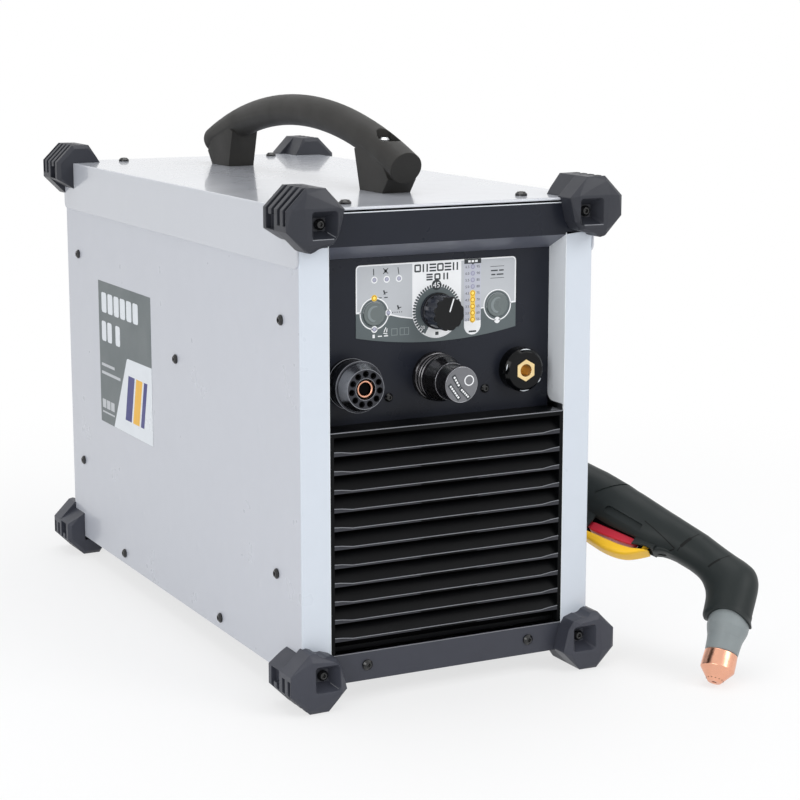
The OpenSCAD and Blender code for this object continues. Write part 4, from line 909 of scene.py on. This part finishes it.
# painted sheen: the knob's flank faces are paler than its face
paint_faces(knob, "knob_flank_painted_sheen", lambda f: abs(f.normal.y) < 0.7)
pointer = stroke(*on_ring(0, 0, 1.6, 90 + KNOB_TURN), *on_ring(0, 0, 12.8, 90 + KNOB_TURN), 1.0)
film("knob_pointer", [[pointer]], front(KNOB_X, DIAL_Z, PANEL_Y - LABEL_T), KNOB_H - 0.5, KNOB_H + 0.02,
     "ink_white", "knob_black", "current_knob")
NODES["work_socket"].data.materials[0] = LOOK["gloss_black"]
NODES["torch_connector"].data.materials[0] = LOOK["connector_metal"]

SOCKET_Z = 255.5
TORCH_FACE, WORK_FACE, REG_FACE = [front(x, SOCKET_Z, PANEL_Y) for x in (-78.0, 78.0, -1.0)]


def hoop(name, place, rings, body, slot, finish):
    """Thin rounded rims: each is (radius, distance from the panel, width)."""
    sections = [[(r + t * c, w + t * s) for c, s in circle(8)] for r, w, t in rings]
    turned_rings(name, sections, place, body, slot, angle=60, finish=finish)


# the connector's rims, with painted highlights along them
hoop("connector_rims", TORCH_FACE,
     [(15.9, 30.9, 0.3), (20.6, 19.6, 0.35), (20.4, 3.8, 0.3), (8.7, 30.9, 0.25)],
     "casing", "knob_black", "painted_highlight")
outer = [(19.5, 17.0), (20.7, 17.6), (20.8, 19.8), (19.9, 20.4), (19.3, 20.4), (18.9, 17.0)]
turned_rings("connector_band", [outer], TORCH_FACE, "casing", "knob_black", finish="connector_metal")
cone = [(19.4, 21.2), (18.9, 23.0), (16.1, 30.9), (15.6, 30.95), (15.6, 30.0), (18.4, 21.2)]
turned_rings("connector_cone", [cone], TORCH_FACE, "casing", "knob_black", finish="bright_metal")
PIN_N, PIN_CIRCLE = 11, 12.3
# painted shade: dark rings round the pin holes, and a dark ring and plug in the contact bore
hole_shades = [ring(*on_ring(0, 0, PIN_CIRCLE, 90 + 360 * i / PIN_N), 2.6, 1.85, 28) for i in range(PIN_N)]
film("pin_hole_shade_rings", hole_shades, TORCH_FACE, 30.9, 31.08, "painted_shade_black", "knob_black")
film("contact_shade_ring", [ring(0, 0, 8.2, 6.9)], TORCH_FACE, 27.9, 28.2, "painted_shade_black", "knob_black")
core = [(0, 20), (4.8, 20), (4.8, 27.2), (4.4, 27.8), (0, 27.8)]
lathe("contact_dark_plug", core, TORCH_FACE, "casing", "knob_black", finish="painted_shade_black")
tube = [(5.4, 25.0), (6.8, 25.0), (6.8, 29.5), (6.5, 29.8), (5.7, 29.8), (5.4, 29.5)]
turned_rings("contact_tube", [tube], TORCH_FACE, "casing", "copper")
# painted highlights on the work socket's four notches
bm = bmesh.new()
for a0, a1 in ((72, 104), (158, 176), (318, 334), (256, 284)):
    rings = []
    for i in range(9):
        a = a0 + (a1 - a0) * i / 8
        r = 0.5 * (0.15 + 0.85 * sin(pi * i / 8))
        rings.append([WORK_FACE(*on_ring(0, 0, 17.3 + r * c, a), 11.2 + r * s) for c, s in circle(8)])
    skin(bm, rings)
to_object("socket_glints", bm, "casing", "knob_black", angle=60, finish="pale_print_and_highlight")
bell = [(0, 11.4), (9.4, 11.4), (9.4, 7.0), (18.8, 7.0), (19.4, 7.6), (19.5, 9.8), (18.7, 10.4),
        (18.7, 11.2), (19.3, 11.8), (19.2, 13.4), (18.4, 14.0), (18.4, 14.8), (18.8, 15.4),
        (18.3, 17.8), (17.2, 20.6), (15.8, 24.2), (14.8, 27.4), (14.5, 29.2), (15.0, 29.8),
        (15.1, 30.8), (14.7, 31.4), (14.7, 45.6), (14.4, 46.6), (13.9, 47.0), (0, 47.0)]
lathe("regulator_bell", fillet(bell, 0.5, 3), REG_FACE, "regulator_knob", "regulator_grey",
      ("regulator_knob",), 120, 40)
collar = [(9.3, 0), (19.7, 0), (20, 0.4), (20, 4.2), (19.4, 5), (18.2, 5.4), (18, 6.5), (9.3, 6.5)]
turned_rings("regulator_collar", [collar], REG_FACE, "casing", "regulator_grey", ("regulator_ring",))
hoop("regulator_rims", REG_FACE, [(15.0, 30.4, 0.25), (14.2, 46.7, 0.35)], "regulator_knob",
     "regulator_grey", "bright_metal")


def dashes(x0, y0, x1, y1, n, width):
    """A row of short blocks along a line."""
    rows = []
    for i in range(n):
        a, b = (i + 0.15) / n, (i + 0.8) / n
        rows.append((x0 + (x1 - x0) * a, y0 + (y1 - y0) * a, x0 + (x1 - x0) * b, y0 + (y1 - y0) * b, width))
    return strokes(*rows)


plaques = strokes((-7.6, 7.9, -1.9, -1.9, 3.4), (-1.3, -2.9, 6.9, -11.4, 3.4),
                  (-11.2, 0.8, -2.0, -11.6, 3.4))
marks = dashes(-7.2, 7.2, -2.3, -1.2, 4, 1.6) + dashes(-0.7, -3.5, 6.3, -10.8, 5, 1.6)
marks += dashes(-10.7, 0.1, -2.5, -10.9, 6, 1.6) + [ring(6.6, 3.0, 4.3, 3.5)]
for name, shapes, low, high, finish in (
        ("face", [disc(0, 0, 13.9, 72)], 46.9, 47.1, "face_metal"),
        ("plaques", plaques, 47.0, 47.35, "ink_dark"),
        ("dashes", marks, 47.0, 47.5, "ink_white")):
    film("regulator_" + name, shapes, REG_FACE, low, high, finish, "regulator_grey", "regulator_knob")


# ---- side decal
def left_side(u, v, w):
    """Local (u, v, w): u towards the rear, v up, w out of the left side."""
    return W(-HALF_W - w, u, v)


wedge = rounded([(329, 151.3), (329, 224.6), (395.2, 224.0, 5), (435.5, 151.3)])
slants = [[[(x, 208), (x - w, 208), (x - w + 11, 164), (x + 11, 164)]]
          for x, w in ((392, 17), (350, 9), (371, 17))]
blocks = [[rounded(rect(x - 14, 260, x, 279.5), 3, 3)] for x in (464, 446.5, 429, 411.5, 394, 376.5)]
blocks += [[rounded(rect(x - 12.5, 232, x, 251.5), 3, 3)] for x in (465, 449, 426)]
lines = [[rect(431, 207.0, 468, 209.8)], [rect(415, 199.0, 468, 201.8)]]
lines += [[rect(x - 10, 165.5, x, 174)] for x in (468, 456, 444)] + [[rect(434, 160.6, 468, 162.2)]]
for name, shapes, low, high, finish in (
        ("slate", [[rect(329, 151.2, 473, 290.1)]], -0.05, 0.1, "ink_slate"),
        ("white", [[wedge]], 0.0, 0.14, "pale_print_and_highlight"),
        ("navy", slants[:2], 0.0, 0.18, "ink_navy"),
        ("yellow", slants[2:], 0.0, 0.18, "ink_yellow"),
        ("blocks", blocks, 0.0, 0.18, "pale_print_and_highlight"),
        ("lines", lines, 0.0, 0.18, "ink_pale")):
    film("decal_" + name, shapes, left_side, low, high, finish, "casing_grey")

# ---- torch
E = Vector((235.6, -74, 72.7))
TURN = (Matrix.Rotation(radians(116.4), 3, "Z") @ Matrix.Rotation(radians(-22), 3, "Y")
        @ Matrix.Rotation(radians(39.5), 3, "X"))
HX, HZ = sin(radians(202)), cos(radians(202))


def T(x, y, z):
    p = E + TURN @ Vector((x, y, z))
    return W(p.x, p.y, p.z)


def TH(u, v, s):
    """Along the torch's head: s from the elbow, u towards the handle's side, v sideways."""
    return T(HX * s - HZ * u, v, HZ * s + HX * u)


def smooth(keys, n):
    """Catmull-Rom through rows of values, n steps between each pair."""
    out = []
    for i in range(len(keys) - 1):
        p = [keys[max(i - 1, 0)], keys[i], keys[i + 1], keys[min(i + 2, len(keys) - 1)]]
        for k in range(n):
            t = k / n
            out.append([0.5 * (2 * b + (c - a) * t + (2 * a - 5 * b + 4 * c - d) * t * t
                               + (3 * b - a - 3 * c + d) * t ** 3) for a, b, c, d in zip(*p)])
    out.append(list(keys[-1]))
    return out


BULGE = 0.86


def bulge(v, k=BULGE):
    """Takes a sine or cosine towards 1, which makes a circle squarer."""
    return copysign(abs(v) ** k, v)


# rows of: x, middle z, half height, half width
SECTIONS = [[45, 6.5, 16.4, 16.3], [66, 6.3, 16.9, 16.6], [76, 5.2, 18.2, 16.9], [90, 3.8, 19.8, 17.2],
            [110, 3.5, 20.6, 17.5], [140, 2.8, 21.8, 17.8], [176, 2.2, 19.8, 17.8], [198, 2.2, 17.4, 16.2],
            [203, 2.1, 15.4, 14.2], [205, 2, 13.2, 12]]


# the joint of the rear sleeve
SLEEVE_X, SLEEVE_MID, SLEEVE_H, SLEEVE_W = 138, 2.85, 21.7, 17.75


def shell_rows():
    """Rows of a handle half: x, middle z, half height, half width, groove depth, lean."""
    rows = []
    for x, mid, h, w in smooth(SECTIONS, 5):
        rows.append((x, mid, h - 0.05, w - 0.05, 0.0, 0.0))
    # the joint of the rear sleeve: a groove whose line leans back as it goes down
    for off, deep in ((-0.9, 0), (-0.6, 0.8), (0.6, 0.8), (0.9, 0)):
        rows.append((SLEEVE_X + off, SLEEVE_MID, SLEEVE_H, SLEEVE_W, deep, 1.0))
    rows = [r for r in rows if r[5] == 1.0 or not 132 < r[0] < 144]
    for x in (122, 127, 132, 144, 149, 155):
        off = abs(x - SLEEVE_X)
        rows = [r for r in rows if abs(r[0] - x) > 1.5]
        rows.append((x, SLEEVE_MID, SLEEVE_H - off * 0.03, SLEEVE_W, 0.0, max(1 - off / 20, 0)))
    return sorted(rows)


def shell(side):
    bm = bmesh.new()
    rings = []
    n = 40
    for x, mid, h, w, deep, lean in shell_rows():
        ring = []
        for i in range(n + 1):
            a = pi * (i / n - 0.5)
            y, z = (w - deep) * bulge(cos(a)), mid + (h - deep) * bulge(sin(a))
            ring.append(T(x + lean * min(12, 6.5 - 0.7 * (z - mid)), side * y, z))
        rings.append(ring)
    skin(bm, rings)
    return bm


def prism_knife(points, y0, y1):
    """A cutter drawn as an X-Z outline in the torch's frame."""
    return knife([[T(x, y, z) for x, z in points] for y in (y0, y1)])


def stadium(x0, x1, z0, z1, lean):
    """An outline with one round end, whose length leans by lean in z for each x."""
    r, c = (z1 - z0) / 2, (z0 + z1) / 2
    pts = [on_ring(x1 - r, c, r, a) for a in range(-90, 91, 18)] + [(x0, z1), (x0, z0)]
    return [(x, z + lean * (x - x0)) for x, z in pts]


for side_name, s in (("left", -1), ("right", 1)):
    cheek = [(91.5, -13.2), (138.5, -18.8), (138.5, -40), (91.5, -40)]
    cuts = [prism_knife(outline, y0, y1) for outline, y0, y1 in (
        (rect(94.6, -40, 164, 0), -7.5, 7.5), (rect(80.5, -40, 94, 0), -5.5, 5.5),
        (rect(40, -5.4, 76, 16.6), -11.1, 11.1), (rect(75.5, -8, 197, 14), -11, 11),
        (cheek, *sorted((6 * s, 30 * s))),
        (stadium(94.5, 131.5, -9.4, -2.6, -0.035), *sorted((14.6 * s, 30 * s))))]
    bm = carve("raw_" + side_name, shell(s), cuts)
    to_object("torch_half_" + side_name, bm, "torch_body", "torch_black", ("torch_shell_" + side_name,), 38)

# rows of: outer edge x, z; inner edge x, z; half width
HEAD_KEYS = [[45.3, 22.85, 45.3, -9.8, 16.3], [36, 22.0, 37, -10.6, 16.2],
             [26, 21.2, 30, -12.3, 16.4], [15, 20.6, 24.6, -15.2, 16.9],
             [5, 20.3, 20.6, -18.4, 17.6], [-4.0, 18.6, 17.9, -21.4, 18.2],
             [-11.0, 13.6, 15.9, -24.4, 18.7], [-15.6, 6.9, 14.3, -27.4, 19.0],
             [-19.2, -1.2, 12.9, -30.4, 19.2], [-22.5, -9.5, 11.3, -33.9, 19.3],
             [-26.4, -18.6, 9.5, -37.6, 19.35], [-30.3, -23.6, 7.8, -38.9, 19.4]]
RIM_ARCH = 6.0
# rounded rim and the cavity for the cup: middle u, half width along u and along v, s
RIM = ((1.25, 20.45, 19.4, 33.5), (1.2, 20.2, 19.2, 33.9), (0.9, 19.6, 18.8, 34.0), (0.1, 18.1, 18.0, 34.0),
       (0, 17.75, 17.75, 33.7), (0, 17.7, 17.7, 24.6))


def arched(x, y, z, side):
    """The rim is shorter at the head's two flanks, where side is 1 or -1."""
    along = x * HX + z * HZ
    lift = RIM_ARCH * side * side * min(1.0, max(0.0, (along - 16) / 17))
    return T(x - HX * lift, y, z - HZ * lift)


def head_rings():
    points = circle(56)
    rings = [[T(x, 11.0 * c, 5.3 + 11.0 * s) for c, s in points] for x in (58, 46)]
    for row, (ox, oz, ix, iz, w) in enumerate(smooth(HEAD_KEYS, 5)):
        cx, cz, hx, hz = (ox + ix) / 2, (oz + iz) / 2, (ox - ix) / 2, (oz - iz) / 2
        k = BULGE + 0.14 * min(1.0, row / 15)
        ring = []
        for c, s in points:
            cs, sn = bulge(c, k), bulge(s, k)
            ring.append(arched(cx + hx * sn, w * cs, cz + hz * sn, cs))
        rings.append(ring)
    for mid, h, w, z in RIM:
        ring = []
        for c, s in points:
            u = mid - h * s
            ring.append(arched(HX * z - HZ * u, w * c, HZ * z + HX * u, c if z > 30 else 0))
        rings.append(ring)
    return rings


bm = bmesh.new()
skin(bm, head_rings())
to_object("torch_elbow", bm, "torch_body", "torch_black", ("torch_head",), angle=40)

cup = [(10.2, 24.5), (17.3, 24.5), (17.4, 25.5), (17.4, 39), (16.6, 42.4), (15.0, 47.5), (14.4, 52),
       (13.9, 60.9), (11, 60.9)]
lathe("cup_shape", fillet(cup, 2.0), TH, "retaining_cup", "cup_grey", ("retaining_cup",), 96, 50)
shield = [(11.2, 61.05), (13.6, 61.05), (13.9, 61.4), (14.2, 68), (14.3, 75.2), (5.6, 86.2), (5.3, 86.4),
          (2.1, 86.4), (1.9, 86.1), (1.9, 80)]
lathe("shield_shape", fillet(shield, 1.2), TH, "retaining_cup", "copper", ("shield_cap",), 120, 50)

# the ring of small gas holes near the tip, as dark plugs: painted shade
CAP_HOLES, CAP_R, CAP_S, HOLE_R = 14, 7.3, 84.05, 0.5
bm = bmesh.new()
for ca, sa in circle(CAP_HOLES):
    rings = []
    for k in (-0.6, 0.12):
        r = CAP_R + 0.78 * k
        rings.append([TH(r * ca - HOLE_R * c * sa, r * sa + HOLE_R * c * ca, CAP_S + 0.62 * k + HOLE_R * s)
                      for c, s in circle(10)])
    skin(bm, rings)
to_object("cap_holes", bm, "retaining_cup", "copper", angle=40, finish="painted_shade_black")


def bar(bm, k, rows, y=0.0):
    """A rounded bar along X. rows: x, top z, bottom z, half width; k is its bulge."""
    rings = []
    for x, z1, z0, w in smooth(rows, 5):
        mid, h = (z1 + z0) / 2, max((z1 - z0) / 2, 0.05)
        rings.append([T(x, y + w * bulge(c, k), mid + h * bulge(s, k)) for c, s in circle(40)])
    skin(bm, rings)


bm = bmesh.new()
bar(bm, 0.5, [[80.7, -16.6, -17.8, 6.6], [83.5, -17.6, -20.4, 8.0], [88, -19.4, -25.0, 8.7],
              [95, -22.6, -31.0, 8.9], [104, -25.2, -34.9, 9.0], [115, -27.2, -37.0, 9.0],
              [127, -29.0, -37.3, 9.0], [140, -31.2, -36.6, 9.0], [152, -32.4, -35.6, 8.6],
              [159.4, -33.0, -34.6, 6.5]])
skin(bm, [[T(86.4 + 2.0 * c, 4.6 * s, z) for c, s in circle(16)] for z in (-9, -14, -19.5)])
to_object("guard_shape", bm, "trigger_guard", "guard_yellow", ("trigger_guard",), angle=60)
bm = bmesh.new()
bar(bm, 0.22, [[95.2, -15.2, -18.5, 5.6], [95.8, -14.4, -20.2, 6.3], [104, -15.4, -22.4, 6.5],
               [118, -17.6, -25.2, 6.5], [131, -19.7, -27.7, 6.5], [135.6, -20.6, -28.0, 6.4],
               [136.4, -21.6, -27.2, 5.8]])
bar(bm, 0.4, [[135.5, -21.5, -26, 4.6], [148, -17, -25, 5.2], [160, -16, -21, 5.0]])
to_object("trigger_blade", bm, "torch_trigger", "trigger_red", ("torch_trigger",), angle=60)
bm = bmesh.new()
bar(bm, 0.6, [[57, -5, -9.4, 8.6], [62, -5, -9.9, 9.4], [67, -5, -10.8, 9.8], [72, -5, -12.6, 9.8],
              [75, -5, -14.5, 9.6], [77.4, -7, -15.6, 8.6]])
for s in (-1, 1):
    # the cheeks beside the guard's front pin and behind the trigger
    bar(bm, 0.5, [[76.6, -8, -14.6, 1.7], [84, -9, -15.7, 1.7], [91, -11, -18.0, 1.7],
                  [95.4, -12, -20.6, 1.4]], 8.8 * s)
    bar(bm, 0.4, [[136.9, -15, -28.6, 1.3], [139.5, -12, -29.6, 1.5], [150, -10, -30.4, 1.5],
                  [162, -8, -27.0, 1.5]], 9.1 * s)
to_object("torch_lug", bm, "torch_body", "torch_black", angle=60)


def on_shell(x, z, lift):
    """The handle's visible side over the point (x, z)."""
    for p, q in zip(SECTIONS, SECTIONS[1:]):
        if p[0] <= x <= q[0]:
            break
    k = (x - p[0]) / (q[0] - p[0])
    _, mid, h, w = [a + (b - a) * k for a, b in zip(p, q)]
    sn = min(1.0, abs((z - mid) / h)) ** (1 / BULGE)
    return T(x, (w + lift) * max(0.0, 1 - sn * sn) ** (BULGE / 2), z)


def on_head(x, z, lift):
    """The head's visible flank over the point (x, z)."""
    best = None
    for ox, oz, ix, iz, w in smooth(HEAD_KEYS[:6], 12):
        cx, cz, hx, hz = (ox + ix) / 2, (oz + iz) / 2, (ox - ix) / 2, (oz - iz) / 2
        k = ((x - cx) * hx + (z - cz) * hz) / (hx * hx + hz * hz)
        off = hypot(cx + k * hx - x, cz + k * hz - z)
        if abs(k) <= 1 and (best is None or off < best[0]):
            best = (off, (w + lift) * sqrt(1 - k * k))
    return T(x, best[1], z)


def strip(bm, path, width, surface, lift):
    """A dark joint line along a path of (x, z), as a flat strip just above the surface."""
    rows = []
    for i, (x, z) in enumerate(path):
        a, b = path[max(i - 1, 0)], path[min(i + 1, len(path) - 1)]
        d = Vector((b[0] - a[0], b[1] - a[1])).normalized() * width / 2
        rows.append([surface(x - d.y, z + d.x, lift), surface(x + d.y, z - d.x, lift)])
    skin(bm, rows, closed=False)


bm = bmesh.new()
STEPS = 8
for points, width, lift in (([(95, 1.0), (84, -0.4), (72, -2.4), (60, -4.8)], 0.8, 0.05),
                            ([(84, -15.2), (76, -14.2), (68, -11.4), (60, -5.4)], 0.8, 0.05),
                            ([(56.0, -1.0), (52.6, 9.6)], 2.6, 0.09),
                            ([(49.9, 17.0), (52.8, 9.2), (55.7, 0.0), (57.0, -5.4)], 0.8, 0.06)):
    path = [(xa + (xb - xa) * i / STEPS, za + (zb - za) * i / STEPS)
            for (xa, za), (xb, zb) in zip(points, points[1:]) for i in range(STEPS)]
    strip(bm, path + points[-1:], width, on_shell, lift)
ring_two = [(17 + 0.437 * (16.8 - z), z) for z in [17.4 - 0.9 * i for i in range(27)]]
strip(bm, ring_two, 0.7, on_head, 0.1)
strip(bm, ring_two[11:], 1.8, on_head, 0.1)
to_object("torch_seams", bm, "torch_body", "torch_black", finish="torch_seam", weighted=False)

# ---- stage, light and camera
# a pale floor that keeps the shadow near the object and fades to plain white further out
paving = Graph("floor_white")
paving.set(Base_Color=(0.93, 0.93, 0.93, 1), Specular_IOR_Level=0.2)
paving.link(paving.span(paving.noise(3), 0, 1, 0.5, 0.6), paving.p.inputs["Roughness"])
far = paving.node("VectorMath", operation="LENGTH")
paving.link(paving.tc, far.inputs[0])
fade = paving.span(far.outputs["Value"], 0.25, 1.1, 0.68, 1.0, "SMOOTHSTEP")
glow = paving.node("Emission", Color=(1, 1, 1, 1), Strength=1.0)
paving.blend(paving.math("MULTIPLY", paving.plain_rays(), fade), paving.p.outputs["BSDF"],
             glow.outputs["Emission"], "Material Output")

bm = bmesh.new()
N = 24
verts = [[bm.verts.new((-20 + 40 * i / N, -6 + 46 * j / N, -0.0005)) for j in range(N + 1)]
         for i in range(N + 1)]
for i in range(N):
    for j in range(N):
        bm.faces.new((verts[i][j], verts[i + 1][j], verts[i + 1][j + 1], verts[i][j + 1]))
me = bpy.data.meshes.new("floor")
bm.to_mesh(me)
bm.free()
me.materials.append(paving.m)
floor = add_object("floor", me)

scene = bpy.context.scene
scene.world = bpy.data.worlds.new("studio")
sky = Tree(scene.world)
light = sky.t.nodes["Background"]
light.inputs["Color"].default_value = (0.95, 0.97, 1.0, 1)
light.inputs["Strength"].default_value = 0.58
white = sky.node("Background", Color=(1, 1, 1, 1), Strength=1.0)
sky.blend(sky.plain_rays(), light.outputs[0], white.outputs[0], "World Output")

for name, loc, size, power in (("key", (1.3, -1.9, 1.6), 1.4, 20), ("top", (0.1, 0.2, 2.2), 1.6, 16),
                               ("left", (-2.0, -1.4, 0.95), 1.4, 16)):
    lamp = bpy.data.lights.new(name, "AREA")
    lamp.energy = power
    lamp.shape = "RECTANGLE"
    lamp.size = size
    lamp.size_y = size
    ob = add_object(name, lamp)
    ob.location = loc
    ob.rotation_euler = (Vector((0, 0, 0.2)) - Vector(loc)).to_track_quat("-Z", "Y").to_euler()

cam = bpy.data.cameras.new("camera")
cam.lens = 93.9
cam.sensor_width = 36
cam.clip_start = 0.05
cam.clip_end = 100
camera = add_object("camera", cam)
camera.location = W(-787.8, -1451.3, 552.6)
camera.rotation_euler = (radians(79.262), 0, radians(-27.094))
scene.camera = camera
scene.view_settings.view_transform = "Standard"
